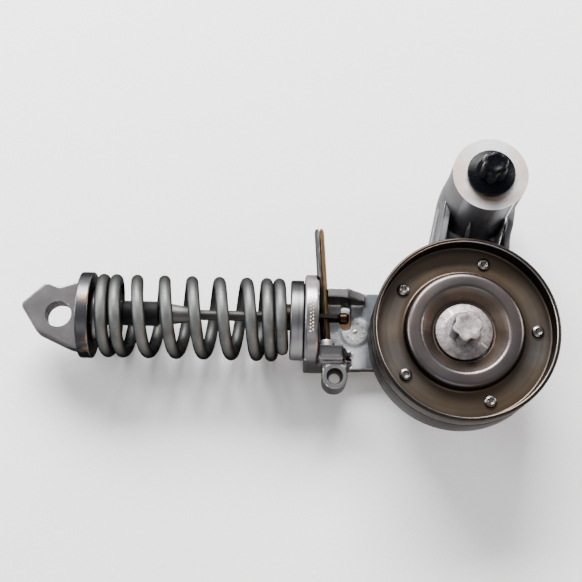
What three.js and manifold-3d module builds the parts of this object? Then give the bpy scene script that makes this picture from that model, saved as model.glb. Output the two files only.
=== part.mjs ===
// Spring-strut belt tensioner with a riveted sheet-steel idler pulley.
//
// A cast arm swings about a pivot sleeve and carries the pulley on a hub. Behind the arm
// the hub also carries the head of a spring strut: a cast housing, a coil spring, and a rod
// with an eye. A slotted pin through the rod's tongue holds the strut compressed.
//
// Millimetres. +Z is the pivot axis, pointing away from the engine. The origin is on that
// axis at the rear face of the pivot sleeve. The strut lies along X with its eye at -X.

import * as THREE from 'three';
import { ConvexGeometry } from 'three/addons/geometries/ConvexGeometry.js';
import { mergeVertices } from 'three/addons/utils/BufferGeometryUtils.js';
import Module from 'manifold-3d';

const wasm = await Module();
wasm.setup();

// ---------------------------------------------------------------- driving dimensions

const PULLEY = { x: -8.7, y: -57.8, z: 26 };   // pulley centre, from the pivot
const RIM_RADIUS = 35;
const RIM_HALF_WIDTH = 12.5;
const SHEET = 1.8;                             // pressed steel thickness
const WEB_FRONT = 5;                           // front face of the pulley web
const BEAD_TOP = 9.8;                          // front face of the raised bead
const RIVET_COUNT = 5;
const RIVET_CIRCLE = 27.8;
const RIVET_START = THREE.MathUtils.degToRad(1.5);
const GAP = 0.3;                               // clearance between neighbouring pieces

const BEARING_FRONT = 2.5;
const BEARING_REAR = -9.5;
const BEARING_BORE = 8.5;
const BEARING_OUTSIDE = 20;
const BALL_COUNT = 8;
const BALL_CIRCLE = 14;
const BALL_RADIUS = 3.3;

const BOSS_RADIUS = 14.3;
const BOSS_REAR = 2;
const BOSS_FRONT = 46;
const SLEEVE_LENGTH = 46.6;
const SLEEVE_RADIUS = 6.5;
const PIVOT_TIP = -9;

const ARM_REAR = 3;
const ARM_FRONT = 12.2;
const ARM_HUB_RADIUS = 18.5;
const WALL_INSIDE = 10;                        // inner faces of the arm's channel walls
const WALL_OUTSIDE = 14.3;
const GUSSET_TOP = 30;                         // where the channel walls leave the boss
const JOURNAL_RADIUS = 11;
const JOURNAL_END = -8.9;

const STRUT_SHIFT_Y = 8.07;                    // strut axis above the pulley axis
const STRUT_Z = 10;                            // strut axis height, part frame
const SEAT_LEFT = -143.1;                      // spring seat on the eye end
const SEAT_RIGHT = -65.6;                      // spring seat on the housing
const DISC_RADIUS = 17.05;
const FLANGE_RADIUS = 18.2;
const CUP_RADIUS = 15.85;
const WIRE_RADIUS = 2.4;
const COIL_RADIUS = 14.15;
const CLOSED_PITCH = 4.95;
const ACTIVE_PITCH = 10.87;
const ROD_SHIFT = 1.2;                         // rod axis above the housing axis
const PIN_FOOT = { x: -51.4, y: -7.4 };        // where the pin meets the lower block
const PIN_TOP = { x: -54.7, y: 38 };
const PIN_RADIUS = 1.95;

// ---------------------------------------------------------------- solid helpers

// Merge a geometry's vertices, drop collapsed faces and turn its faces outwards.
function closed(geometry) {
  const bare = geometry.clone();
  bare.deleteAttribute('normal');
  bare.deleteAttribute('uv');
  const merged = mergeVertices(bare, 1e-4);
  const point = merged.getAttribute('position');
  const source = merged.getIndex().array;
  const faces = [];
  let volume = 0;
  const a = new THREE.Vector3();
  const b = new THREE.Vector3();
  const c = new THREE.Vector3();
  for (let i = 0; i < source.length; i += 3) {
    const [p, q, r] = [source[i], source[i + 1], source[i + 2]];
    if (p === q || q === r || r === p) continue;
    faces.push(p, q, r);
    a.fromBufferAttribute(point, p);
    b.fromBufferAttribute(point, q);
    c.fromBufferAttribute(point, r);
    volume += a.dot(b.cross(c));
  }
  if (volume < 0) faces.reverse();
  merged.setIndex(faces);
  return merged;
}

function toManifold(geometry) {
  const solid = closed(geometry);
  return new wasm.Manifold(new wasm.Mesh({
    numProp: 3,
    vertProperties: new Float32Array(solid.getAttribute('position').array),
    triVerts: new Uint32Array(solid.getIndex().array),
  }));
}

function fromManifold(manifold) {
  const mesh = manifold.getMesh();
  const geometry = new THREE.BufferGeometry();
  geometry.setAttribute('position', new THREE.Float32BufferAttribute(mesh.vertProperties, 3));
  geometry.setIndex(Array.from(mesh.triVerts));
  return geometry;
}

function join(...geometries) {
  return fromManifold(geometries.map(toManifold).reduce((sum, next) => sum.add(next)));
}

function cut(base, ...tools) {
  return fromManifold(tools.map(toManifold).reduce((rest, tool) => rest.subtract(tool),
    toManifold(base)));
}

// Turn a closed outline of [radius, height] points about Z.
function lathe(outline, segments = 36) {
  const points = [...outline, outline[0]].map(([r, z]) => new THREE.Vector2(r, z));
  return closed(new THREE.LatheGeometry(points, segments).rotateX(Math.PI / 2));
}

function disc(radius, bottom, top, segments = 28) {
  return lathe([[0, bottom], [radius, bottom], [radius, top], [0, top]], segments);
}

function ring(inner, outer, bottom, top, segments = 28) {
  return lathe([[inner, bottom], [outer, bottom], [outer, top], [inner, top]], segments);
}

// Turn a solid made about Z so that its axis lies along +X.
function alongX(geometry) {
  return geometry.clone().rotateY(Math.PI / 2);
}

function slab(points, bottom, top) {
  const shape = points instanceof THREE.Shape
    ? points
    : new THREE.Shape(points.map(([x, y]) => new THREE.Vector2(x, y)));
  const geometry = new THREE.ExtrudeGeometry(shape, {
    depth: top - bottom, bevelEnabled: false, curveSegments: 8,
  });
  return closed(geometry.translate(0, 0, bottom));
}

function block(low, high) {
  const size = high.map((value, axis) => value - low[axis]);
  const middle = high.map((value, axis) => (value + low[axis]) / 2);
  return closed(new THREE.BoxGeometry(...size).translate(...middle));
}

function hull(points) {
  return closed(new ConvexGeometry(points.map((point) => new THREE.Vector3(...point))));
}

// The outline of a belt round two circles, as a convex ring of points.
function beltOutline(first, second, firstRadius, secondRadius, steps = 14) {
  const span = Math.hypot(second.x - first.x, second.y - first.y);
  const heading = Math.atan2(second.y - first.y, second.x - first.x);
  const lean = Math.acos((firstRadius - secondRadius) / span);
  const outline = [];
  for (let i = 0; i <= steps; i += 1) {
    const angle = heading + lean + (2 * (Math.PI - lean) * i) / steps;
    outline.push([first.x + firstRadius * Math.cos(angle),
      first.y + firstRadius * Math.sin(angle)]);
  }
  for (let i = 0; i <= steps; i += 1) {
    const angle = heading - lean + (2 * lean * i) / steps;
    outline.push([second.x + secondRadius * Math.cos(angle),
      second.y + secondRadius * Math.sin(angle)]);
  }
  return outline;
}

// External six-lobe drive head: a circle with six waves.
function lobedHead(radius, bottom, top) {
  const points = [];
  for (let i = 0; i < 36; i += 1) {
    const angle = (Math.PI * i) / 18;
    const r = radius * (0.92 + 0.08 * Math.cos(6 * angle));
    points.push([r * Math.cos(angle), r * Math.sin(angle)]);
  }
  return slab(points, bottom, top);
}

function flangeBolt({ flange, head, shank, seat, headTop, tip }) {
  const body = lathe([
    [0, tip], [shank - 0.8, tip], [shank, tip + 1], [shank, seat], [flange, seat],
    [flange, seat + 0.9], [head * 1.05, seat + 2.1], [0, seat + 2.1],
  ], 28);
  return join(body, lobedHead(head, seat + 1.6, headTop));
}

const materials = {
  castAluminium: { color: 0x8d8a88, roughness: 0.5, metalness: 0.9 },
  roughCasting: { color: 0x77787a, roughness: 0.7, metalness: 0.8 },
  pulleySteel: { color: 0x6b6259, roughness: 0.35, metalness: 0.95 },
  rivetSteel: { color: 0x9a938c, roughness: 0.3, metalness: 1 },
  bearingSteel: { color: 0xb8bcc0, roughness: 0.2, metalness: 1 },
  sealRubber: { color: 0x2a2523, roughness: 0.7, metalness: 0 },
  zincPlate: { color: 0xb9b1ab, roughness: 0.4, metalness: 0.9 },
  blackBolt: { color: 0x0c0d10, roughness: 0.3, metalness: 0.4 },
  sleeveSteel: { color: 0xaaaaaa, roughness: 0.3, metalness: 1 },
  bushBronze: { color: 0x8f7345, roughness: 0.4, metalness: 0.8 },
  springSteel: { color: 0x6f736f, roughness: 0.5, metalness: 0.7 },
  seatAluminium: { color: 0xc8c8ca, roughness: 0.15, metalness: 1 },
  bumpRubber: { color: 0x15161a, roughness: 0.6, metalness: 0 },
  rodSteel: { color: 0x7c7a74, roughness: 0.35, metalness: 1 },
  pinSteel: { color: 0x8a6a33, roughness: 0.35, metalness: 0.9 },
};

function mesh(name, geometry, finish) {
  const piece = new THREE.Mesh(closed(geometry), new THREE.MeshStandardMaterial(materials[finish]));
  piece.name = name;
  return piece;
}

// ---------------------------------------------------------------- pivot, fixed to the engine

function makePivot() {
  const group = new THREE.Group();
  const sleeve = ring(4.6, SLEEVE_RADIUS, 0, SLEEVE_LENGTH);
  group.add(mesh('pivot_sleeve', sleeve, 'sleeveSteel'));
  const bolt = flangeBolt({
    flange: 9.1, head: 5.2, shank: 4, seat: SLEEVE_LENGTH + GAP, headTop: 57.5, tip: PIVOT_TIP,
  });
  group.add(mesh('pivot_bolt', bolt, 'blackBolt'));
  return group;
}

// ---------------------------------------------------------------- arm and what is fixed to it

const BUSH_RADIUS = 8.6;
const BUSH_INSIDE = SLEEVE_RADIUS + 0.08;
const BUSH_LENGTH = 14;

// A channel wall in the arm's own frame, the hub lying at -Y. Its front edge falls from the boss
// to the pulley, and its outer face stands lower than its inner one by the given drop.
function channelWall(inner, outer, drop) {
  const high = [
    [inner, -1, GUSSET_TOP], [inner, -14, GUSSET_TOP], [inner, -21.3, 13],
    [outer, -1, GUSSET_TOP - drop], [outer, -10, GUSSET_TOP - drop],
    [outer, -21.3, 13 - drop * 0.4],
  ];
  const low = [[inner, -1], [inner, -21.3], [outer, -1], [outer, -21.3]];
  return hull([...high, ...low.map((corner) => [...corner, ARM_REAR + 1])]);
}

function makeArmCasting() {
  const hubAt = { x: PULLEY.x, y: PULLEY.y };
  const pivotAt = { x: 0, y: 0 };
  const atHub = (geometry) => geometry.translate(PULLEY.x, PULLEY.y, PULLEY.z);
  const beam = slab(beltOutline(pivotAt, hubAt, 15.2, ARM_HUB_RADIUS), ARM_REAR, ARM_FRONT);
  const pocket = slab(beltOutline({ x: -1, y: -6 }, { x: -6.4, y: -42 }, 11.6, 13),
    ARM_FRONT - 5.5, ARM_FRONT + 1);
  const rib = slab([[-3.9, -12], [-1.9, -12], [-5.6, -46], [-7.6, -46]], ARM_REAR + 1,
    ARM_FRONT - 1.2);
  const lean = Math.atan2(PULLEY.x, -PULLEY.y);
  const walls = [
    channelWall(-WALL_INSIDE, -WALL_OUTSIDE, 9), channelWall(WALL_INSIDE, WALL_OUTSIDE, 2),
    channelWall(-3.2, -1.7, 0),
  ].map((wall) => wall.rotateZ(lean));
  const boss = disc(BOSS_RADIUS, BOSS_REAR, BOSS_FRONT, 40);
  const hub = atHub(lathe([
    [0, JOURNAL_END - PULLEY.z], [JOURNAL_RADIUS, JOURNAL_END - PULLEY.z],
    [JOURNAL_RADIUS, -33.9], [9.8, -33.9], [9.8, -32.4], [JOURNAL_RADIUS, -32.4],
    [JOURNAL_RADIUS, -20], [ARM_HUB_RADIUS - 0.5, -20], [ARM_HUB_RADIUS - 0.5, -13.8],
    [11.8, -13.8], [11.8, BEARING_REAR - GAP], [8.2, BEARING_REAR - GAP], [8.2, 2.2], [0, 2.2],
  ]));
  const body = join(cut(beam, pocket), rib, ...walls, boss, hub);
  const pivotBore = disc(BUSH_RADIUS + GAP, BOSS_REAR - 1, BOSS_FRONT + 1);
  const boltBore = atHub(disc(5.3, -29.5, 4, 24));
  return cut(body, pivotBore, boltBore);
}

function makeArm() {
  const group = new THREE.Group();
  group.add(mesh('tensioner_arm', makeArmCasting(), 'castAluminium'));
  const bush = ring(BUSH_INSIDE, BUSH_RADIUS, 0, BUSH_LENGTH);
  const rear = mesh('pivot_bush_rear', bush, 'bushBronze');
  rear.position.z = BOSS_REAR + 0.2;
  const front = mesh('pivot_bush_front', bush, 'bushBronze');
  front.position.z = BOSS_FRONT - 0.2 - BUSH_LENGTH;
  group.add(rear, front);

  const hub = new THREE.Group();
  hub.position.set(PULLEY.x, PULLEY.y, PULLEY.z);
  const bolt = flangeBolt({
    flange: 10.9, head: 6.5, shank: 4.9, seat: 4.5, headTop: 14.6, tip: -28,
  });
  hub.add(mesh('pulley_bolt', bolt, 'zincPlate'));
  hub.add(mesh('pulley_washer', ring(5.4, 10.4, 2.8, 4.2), 'zincPlate'));
  hub.add(mesh('bearing_inner_ring', makeInnerRing(), 'bearingSteel'));
  hub.add(mesh('strut_circlip', makeCirclip(), 'springSteel'));
  group.add(hub);
  return group;
}

// External circlip: an open ring with its gap towards -Y.
function makeCirclip() {
  const whole = ring(10.2, 13.4, -33.6, -32.7, 30);
  return cut(whole, block([-2, -15, -35], [2, 0, -32]));
}

// ---------------------------------------------------------------- bearing

const BALL_HEIGHT = (BEARING_FRONT + BEARING_REAR) / 2;
const GROOVE_RADIUS = BALL_RADIUS + 0.25;

// Points round a ball groove in a ring wall at the given radius.
function groove(wall, steps = 4) {
  const reach = Math.acos(Math.abs(wall - BALL_CIRCLE) / GROOVE_RADIUS);
  const facing = wall < BALL_CIRCLE ? Math.PI : 0;
  const points = [];
  for (let i = 0; i <= steps; i += 1) {
    const angle = facing - reach + (2 * reach * i) / steps;
    points.push([BALL_CIRCLE + GROOVE_RADIUS * Math.cos(angle),
      BALL_HEIGHT + GROOVE_RADIUS * Math.sin(angle)]);
  }
  return points;
}

function makeInnerRing() {
  const wall = 12;
  return lathe([[BEARING_BORE, BEARING_REAR], [BEARING_BORE, BEARING_FRONT],
    [wall, BEARING_FRONT], ...groove(wall), [wall, BEARING_REAR]], 24);
}

function makeOuterRing() {
  const wall = 16;
  return lathe([[BEARING_OUTSIDE, BEARING_FRONT], [BEARING_OUTSIDE, BEARING_REAR],
    [wall, BEARING_REAR], ...groove(wall), [wall, BEARING_FRONT]], 24);
}

function makeCage() {
  const band = ring(13.3, 14.7, BALL_HEIGHT - 4.4, BALL_HEIGHT + 4.4, 24);
  const pockets = [];
  for (let i = 0; i < BALL_COUNT; i += 1) {
    const angle = (2 * Math.PI * i) / BALL_COUNT;
    const pocket = disc(BALL_RADIUS + GAP, -3, 3, 10).rotateY(Math.PI / 2);
    pocket.rotateZ(angle);
    pocket.translate(BALL_CIRCLE * Math.cos(angle), BALL_CIRCLE * Math.sin(angle), BALL_HEIGHT);
    pockets.push(pocket);
  }
  return cut(band, ...pockets);
}

function makeBearingCage() {
  const group = new THREE.Group();
  group.position.set(PULLEY.x, PULLEY.y, PULLEY.z);
  group.add(mesh('bearing_cage', makeCage(), 'bearingSteel'));
  for (let i = 0; i < BALL_COUNT; i += 1) {
    const angle = (2 * Math.PI * i) / BALL_COUNT;
    const ball = mesh(`bearing_ball_${i + 1}`, new THREE.SphereGeometry(BALL_RADIUS, 10, 6),
      'bearingSteel');
    ball.position.set(BALL_CIRCLE * Math.cos(angle), BALL_CIRCLE * Math.sin(angle), BALL_HEIGHT);
    group.add(ball);
  }
  return group;
}

// ---------------------------------------------------------------- pulley

const WEB_BACK = WEB_FRONT - SHEET;
const RIM_INSIDE = RIM_RADIUS - SHEET;

function rivetHoles() {
  const holes = [];
  for (let i = 0; i < RIVET_COUNT; i += 1) {
    const angle = RIVET_START + (2 * Math.PI * i) / RIVET_COUNT;
    holes.push(disc(2.1, -2, 8, 10).translate(RIVET_CIRCLE * Math.cos(angle),
      RIVET_CIRCLE * Math.sin(angle), 0));
  }
  return holes;
}

// Front pressing: short rim, flat web, raised bead round the bearing, inner lip.
function makeFrontHalf() {
  const edge = RIM_HALF_WIDTH;
  return cut(lathe([
    [RIM_INSIDE, edge - 0.4], [RIM_INSIDE, WEB_FRONT + 1.5], [RIM_INSIDE - 0.5, WEB_FRONT + 0.4],
    [RIM_INSIDE - 1.6, WEB_FRONT], [24, WEB_FRONT], [22.8, WEB_FRONT + 0.8],
    [22.3, BEAD_TOP - 1.6], [21.6, BEAD_TOP - 0.4], [20.4, BEAD_TOP], [17.2, BEAD_TOP],
    [15.8, BEAD_TOP - 0.9], [13.6, WEB_FRONT + 0.8], [11.7, WEB_FRONT + 0.3],
    [11.7, WEB_BACK + 0.3], [14, WEB_BACK + 0.5], [16.4, BEAD_TOP - 2.2],
    [20.2, BEAD_TOP - SHEET], [21.2, WEB_BACK + 0.5], [22.4, WEB_BACK],
    [RIM_RADIUS - 1.2, WEB_BACK], [RIM_RADIUS - 0.3, WEB_BACK + 0.4],
    [RIM_RADIUS, WEB_BACK + 1.2], [RIM_RADIUS, edge - 0.4], [RIM_RADIUS - 0.4, edge],
    [RIM_INSIDE + 0.4, edge],
  ], 40), ...rivetHoles());
}

// Rear pressing: long rim, flat web and the drawn seat that grips the bearing.
function makeRearHalf() {
  const edge = -RIM_HALF_WIDTH;
  const webTop = WEB_BACK - GAP;
  const webBottom = webTop - SHEET;
  const seat = BEARING_OUTSIDE + GAP;
  return cut(lathe([
    [seat, webTop], [seat, BEARING_REAR - GAP], [seat - 1.6, BEARING_REAR - GAP],
    [seat - 1.6, BEARING_REAR - 1.7], [seat + 1.2, BEARING_REAR - 1.7],
    [seat + SHEET, BEARING_REAR - 1], [seat + SHEET, webBottom - 0.8],
    [seat + SHEET + 0.8, webBottom], [RIM_INSIDE - 1.2, webBottom],
    [RIM_INSIDE, webBottom - 1.2], [RIM_INSIDE, edge + 0.4], [RIM_INSIDE + 0.4, edge],
    [RIM_RADIUS - 0.4, edge], [RIM_RADIUS, edge + 0.4], [RIM_RADIUS, webTop - 1.2],
    [RIM_RADIUS - 0.3, webTop - 0.4], [RIM_RADIUS - 1.2, webTop],
  ], 40), ...rivetHoles());
}

// Rivet: shank through both webs, domed head in front with a dimple, flat head behind.
function makeRivet() {
  const back = WEB_BACK - GAP - SHEET - GAP;
  const front = WEB_FRONT + GAP;
  return lathe([[0, back - 0.9], [2.4, back - 0.9], [2.6, back], [1.75, back], [1.75, front],
    [2.35, front], [2.1, front + 1], [1.2, front + 1.4], [0, front + 1]], 12);
}

function makePulley() {
  const group = new THREE.Group();
  group.position.set(PULLEY.x, PULLEY.y, PULLEY.z);
  group.add(mesh('pulley_front_half', makeFrontHalf(), 'pulleySteel'));
  group.add(mesh('pulley_rear_half', makeRearHalf(), 'pulleySteel'));
  for (let i = 0; i < RIVET_COUNT; i += 1) {
    const angle = RIVET_START + (2 * Math.PI * i) / RIVET_COUNT;
    const rivet = mesh(`pulley_rivet_${i + 1}`, makeRivet(), 'rivetSteel');
    rivet.position.set(RIVET_CIRCLE * Math.cos(angle), RIVET_CIRCLE * Math.sin(angle), 0);
    group.add(rivet);
  }
  group.add(mesh('bearing_outer_ring', makeOuterRing(), 'bearingSteel'));
  group.add(mesh('bearing_seal_front', ring(12.3, 15.7, 1.5, 2.2, 24), 'sealRubber'));
  group.add(mesh('bearing_seal_rear', ring(12.3, 15.7, -9.2, -8.5, 24), 'sealRubber'));
  return group;
}

// ---------------------------------------------------------------- strut housing

// Strut pieces use the strut frame: origin level with the pulley axis, X along the strut.
const HUB_Y = -STRUT_SHIFT_Y;                  // pulley axis in the strut frame
const FLANGE_LEFT = -60;
const FLANGE_RIGHT = -54.4;
const FLOOR_REAR = -16;
const FLOOR_FRONT = -10;
const WALL_FRONT = 2;
const BLOCK_FRONT = 8;
const HEAD_RADIUS = 19.5;
const HEAD_BORE = 13.6;
const EAR = { x: -47.65, y: -22.8, radius: 5, front: 4, mouth: 2.9, throat: 2.1 };

function pinAxisPoint(y) {
  const t = (y - PIN_FOOT.y) / (PIN_TOP.y - PIN_FOOT.y);
  return PIN_FOOT.x + t * (PIN_TOP.x - PIN_FOOT.x);
}

// A cylinder about the lock pin's axis, between two heights in Y.
function alongPin(radius, bottomY, topY, segments = 16) {
  const lean = Math.atan2(PIN_FOOT.x - PIN_TOP.x, PIN_TOP.y - PIN_FOOT.y);
  const length = (topY - bottomY) / Math.cos(lean);
  const rod = disc(radius, 0, length, segments).rotateX(-Math.PI / 2);
  return rod.rotateZ(lean).translate(pinAxisPoint(bottomY), bottomY, 0);
}

function makeHousing() {
  const flange = alongX(lathe([
    [0, FLANGE_LEFT - 3.2], [CUP_RADIUS - 1.6, FLANGE_LEFT - 3.2],
    [CUP_RADIUS - 1.6, FLANGE_LEFT], [FLANGE_RADIUS - 0.6, FLANGE_LEFT],
    [FLANGE_RADIUS, FLANGE_LEFT + 0.6], [FLANGE_RADIUS, FLANGE_RIGHT], [0, FLANGE_RIGHT],
  ], 40));
  const floor = slab([
    [-56, 12.8], [-42, 14.4], [-30, 14.6], [-12, 9], [0, HUB_Y], [-10, -24.5], [-18, -19.8],
    [-31.5, -16.9], [-41, -17.2], [-56, -15],
  ], FLOOR_REAR, FLOOR_FRONT);
  const head = disc(HEAD_RADIUS, FLOOR_REAR + 0.2, -8, 40).translate(0, HUB_Y, 0);
  const upperWall = slab([
    [-55, FLOOR_FRONT - 1], [-35.5, FLOOR_FRONT - 1], [-35.5, -6], [-42.7, WALL_FRONT],
    [-55, WALL_FRONT],
  ], -13.3, -9.2).rotateX(Math.PI / 2);
  const lowerBlock = slab([
    [-60, -8.6], [-45, -8.6], [-43.8, -10], [-40.8, -17.2], [-42, -18.4], [-60, -18.4],
  ], FLOOR_REAR + 2, BLOCK_FRONT);
  const ear = join(disc(EAR.radius, -10, EAR.front, 24).translate(EAR.x, EAR.y, 0),
    block([EAR.x - 4.9, EAR.y, -10], [EAR.x + 4.9, -17, EAR.front]));
  const pad = disc(5.5, FLOOR_FRONT - 1, FLOOR_FRONT + 0.5, 24).translate(-39.2, -1.8, 0);
  const body = join(flange, floor, head, upperWall, lowerBlock, ear, pad);

  const headBore = disc(HEAD_BORE, -30, 10, 36).translate(0, HUB_Y, 0);
  const rodBore = alongX(disc(5.6, -70, -50, 20)).translate(0, ROD_SHIFT, 0);
  const window = slab([[-45, -0.5], [-41.5, -0.5], [-41.5, 8.5], [-45, 8.5]], -20, -5);
  const pinPath = alongPin(2.35, -15, 24);
  const notch = block([-55.6, 7, 0], [-50.6, 15, 12]);
  const collarSeat = alongPin(3.5, -11.6, 0);
  const earHole = lathe([
    [0, -12], [EAR.throat, -12], [EAR.throat, -10], [EAR.mouth, EAR.front],
    [EAR.mouth, EAR.front + 2], [0, EAR.front + 2],
  ], 20).translate(EAR.x, EAR.y, 0);
  const drainNotch = block([-44, -16.4, FLOOR_FRONT - 4], [-40.4, -13, FLOOR_FRONT + 4]);
  return cut(body, headBore, rodBore, window, pinPath, notch, collarSeat, earHole, drainNotch);
}

function makeSeatCup() {
  return alongX(lathe([
    [9, SEAT_RIGHT], [CUP_RADIUS - 0.8, SEAT_RIGHT], [CUP_RADIUS, SEAT_RIGHT + 0.8],
    [CUP_RADIUS, FLANGE_LEFT - GAP], [CUP_RADIUS - 1.3, FLANGE_LEFT - GAP],
    [CUP_RADIUS - 1.3, FLANGE_LEFT - 3.5], [9, FLANGE_LEFT - 3.5],
  ], 36));
}

function makeHousingGroup() {
  const group = new THREE.Group();
  group.add(mesh('strut_housing', makeHousing(), 'roughCasting'));
  group.add(mesh('spring_seat_cup', makeSeatCup(), 'seatAluminium'));
  const guide = alongX(ring(2.55, 5.3, -69, -62, 20)).translate(0, ROD_SHIFT, 0);
  group.add(mesh('rod_guide_bush', guide, 'bushBronze'));
  const headBush = ring(JOURNAL_RADIUS + 0.08, HEAD_BORE - GAP, -15.5, -8.4, 36);
  group.add(mesh('strut_head_bush', headBush.translate(0, HUB_Y, 0), 'bushBronze'));
  const collar = cut(alongPin(3.2, -11.2, -7.8), alongPin(2.3, -13, -5));
  group.add(mesh('lock_pin_collar', collar, 'zincPlate'));
  return group;
}

// ---------------------------------------------------------------- strut rod and eye

const SLOT_LEFT = -60.4;
const SLOT_HALF = 2.25;

function makeEyeEnd() {
  const plate = slab([
    [-170.9, 1.2], [-171.6, 2.8], [-171, 4.2], [-163.6, 11.4], [-162.2, 12], [-160.8, 11.8],
    [-157, 10.2], [-148.6, 13.2], [-144, 13.2], [-144, -15.8], [-146, -15.8], [-152.1, -13.8],
    [-163.4, -8.6], [-165.2, -7.2],
  ], -4, 4);
  const seat = alongX(lathe([
    [0, SEAT_LEFT - 5], [DISC_RADIUS - 0.5, SEAT_LEFT - 5], [DISC_RADIUS, SEAT_LEFT - 4.5],
    [DISC_RADIUS, SEAT_LEFT - 0.5], [DISC_RADIUS - 0.5, SEAT_LEFT], [10.4, SEAT_LEFT],
    [9.6, SEAT_LEFT + 4], [0, SEAT_LEFT + 4],
  ], 40));
  const hole = disc(5.2, -6, 6, 24).translate(-156.8, -0.8, 0);
  return cut(join(plate, seat), hole);
}

// Rod: stepped shank, then a flat tongue with a slot for the lock pin.
function makeRod() {
  const shank = alongX(lathe([
    [0, SEAT_LEFT + 4 + GAP], [2.05, SEAT_LEFT + 4 + GAP], [2.05, -61.2], [0, -61.2],
  ], 16)).translate(0, ROD_SHIFT, 0);
  const tongue = block([-61.5, ROD_SHIFT - 0.8, -3.9], [-46, ROD_SHIFT + 0.8, 3.9]);
  const pinX = pinAxisPoint(ROD_SHIFT);
  const slot = block([SLOT_LEFT, -3, -SLOT_HALF], [pinX + SLOT_HALF + 0.1, 6, SLOT_HALF]);
  const button = alongX(lathe([
    [0, -46.4], [2.4, -46.4], [3.1, -45.6], [3.1, -43], [2.2, -42], [0, -41.8],
  ], 20)).translate(0, ROD_SHIFT, 0);
  return { bar: cut(join(shank, tongue), slot), button };
}

function makeRodGroup() {
  const group = new THREE.Group();
  group.add(mesh('strut_eye_end', makeEyeEnd(), 'castAluminium'));
  const stop = alongX(ring(2.3, 4.95, SEAT_LEFT + 4 + GAP, -117.4, 20));
  group.add(mesh('bump_stop', stop.translate(0, ROD_SHIFT, 0), 'bumpRubber'));
  const cone = alongX(lathe([
    [2.3, -117.1], [4.3, -117.1], [4.3, -114], [2.7, -103.4], [2.3, -103.4],
  ], 20));
  group.add(mesh('rod_collar', cone.translate(0, ROD_SHIFT, 0), 'rodSteel'));
  const { bar, button } = makeRod();
  group.add(mesh('strut_rod', join(bar, button), 'rodSteel'));
  return group;
}

// ---------------------------------------------------------------- spring

const SPRING_START_TURN = -0.15;
const SPRING_END_TURN = 8.45;
const RAMP_LEFT = [0.9, 2.1];
const RAMP_RIGHT = [6, 7.1];

// Pitch at a given turn: closed at both ends, open between, with straight ramps.
function pitchAt(turn) {
  const rise = (turn - RAMP_LEFT[0]) / (RAMP_LEFT[1] - RAMP_LEFT[0]);
  const fall = (RAMP_RIGHT[1] - turn) / (RAMP_RIGHT[1] - RAMP_RIGHT[0]);
  const openness = THREE.MathUtils.clamp(Math.min(rise, fall), 0, 1);
  return CLOSED_PITCH + (ACTIVE_PITCH - CLOSED_PITCH) * openness;
}

class SpringCurve extends THREE.Curve {
  constructor() {
    super();
    const steps = 400;
    const turnStep = (SPRING_END_TURN - SPRING_START_TURN) / steps;
    this.stations = [0];
    for (let i = 0; i < steps; i += 1) {
      const turn = SPRING_START_TURN + (i + 0.5) * turnStep;
      this.stations.push(this.stations[i] + pitchAt(turn) * turnStep);
    }
    const room = SEAT_RIGHT - SEAT_LEFT - 2 * (WIRE_RADIUS + GAP);
    this.scale = room / this.stations[steps];
  }

  getPoint(t, target = new THREE.Vector3()) {
    const place = t * (this.stations.length - 1);
    const index = Math.min(Math.floor(place), this.stations.length - 2);
    const part = place - index;
    const along = this.stations[index] * (1 - part) + this.stations[index + 1] * part;
    const turn = SPRING_START_TURN + t * (SPRING_END_TURN - SPRING_START_TURN);
    const angle = 2 * Math.PI * turn;
    return target.set(SEAT_LEFT + WIRE_RADIUS + GAP + along * this.scale,
      COIL_RADIUS * Math.cos(angle), COIL_RADIUS * Math.sin(angle));
  }
}

function makeSpring() {
  const section = new THREE.Shape();
  for (let i = 0; i < 7; i += 1) {
    const angle = (2 * Math.PI * i) / 7;
    const place = [WIRE_RADIUS * Math.cos(angle), WIRE_RADIUS * Math.sin(angle)];
    if (i === 0) section.moveTo(...place);
    else section.lineTo(...place);
  }
  return new THREE.ExtrudeGeometry(section, {
    steps: 130, extrudePath: new SpringCurve(), curveSegments: 1, bevelEnabled: false,
  });
}

// ---------------------------------------------------------------- lock pin

// Rolled spring pin with its slit towards +Z.
function makeLockPin() {
  const tube = cut(alongPin(PIN_RADIUS, -10.6, PIN_TOP.y, 18), alongPin(1.05, -14, 60, 14));
  const slit = block([-60, -14, 0.2], [-45, 60, 4]);
  const lean = Math.atan2(PIN_FOOT.x - PIN_TOP.x, PIN_TOP.y - PIN_FOOT.y);
  const narrow = block([-0.35, -80, 0.3], [0.35, 80, 4]).rotateZ(lean);
  narrow.translate(PIN_FOOT.x, PIN_FOOT.y, 0);
  return fromManifold(toManifold(tube).subtract(toManifold(narrow).intersect(toManifold(slit))));
}

// ---------------------------------------------------------------- assembly

const strut = new THREE.Group();
strut.position.set(PULLEY.x, PULLEY.y + STRUT_SHIFT_Y, STRUT_Z);
strut.add(makeHousingGroup());
strut.add(makeRodGroup());
strut.add(mesh('strut_spring', makeSpring(), 'springSteel'));
strut.add(mesh('lock_pin', makeLockPin(), 'pinSteel'));

const tensioner = new THREE.Group();
tensioner.add(makePivot());
tensioner.add(makeArm());
tensioner.add(makeBearingCage());
tensioner.add(makePulley());
tensioner.add(strut);

export default tensioner;
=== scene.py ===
"""Looks for the spring-strut belt tensioner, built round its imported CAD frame."""
import math

import bmesh
import bpy
from mathutils import Matrix, Vector


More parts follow.
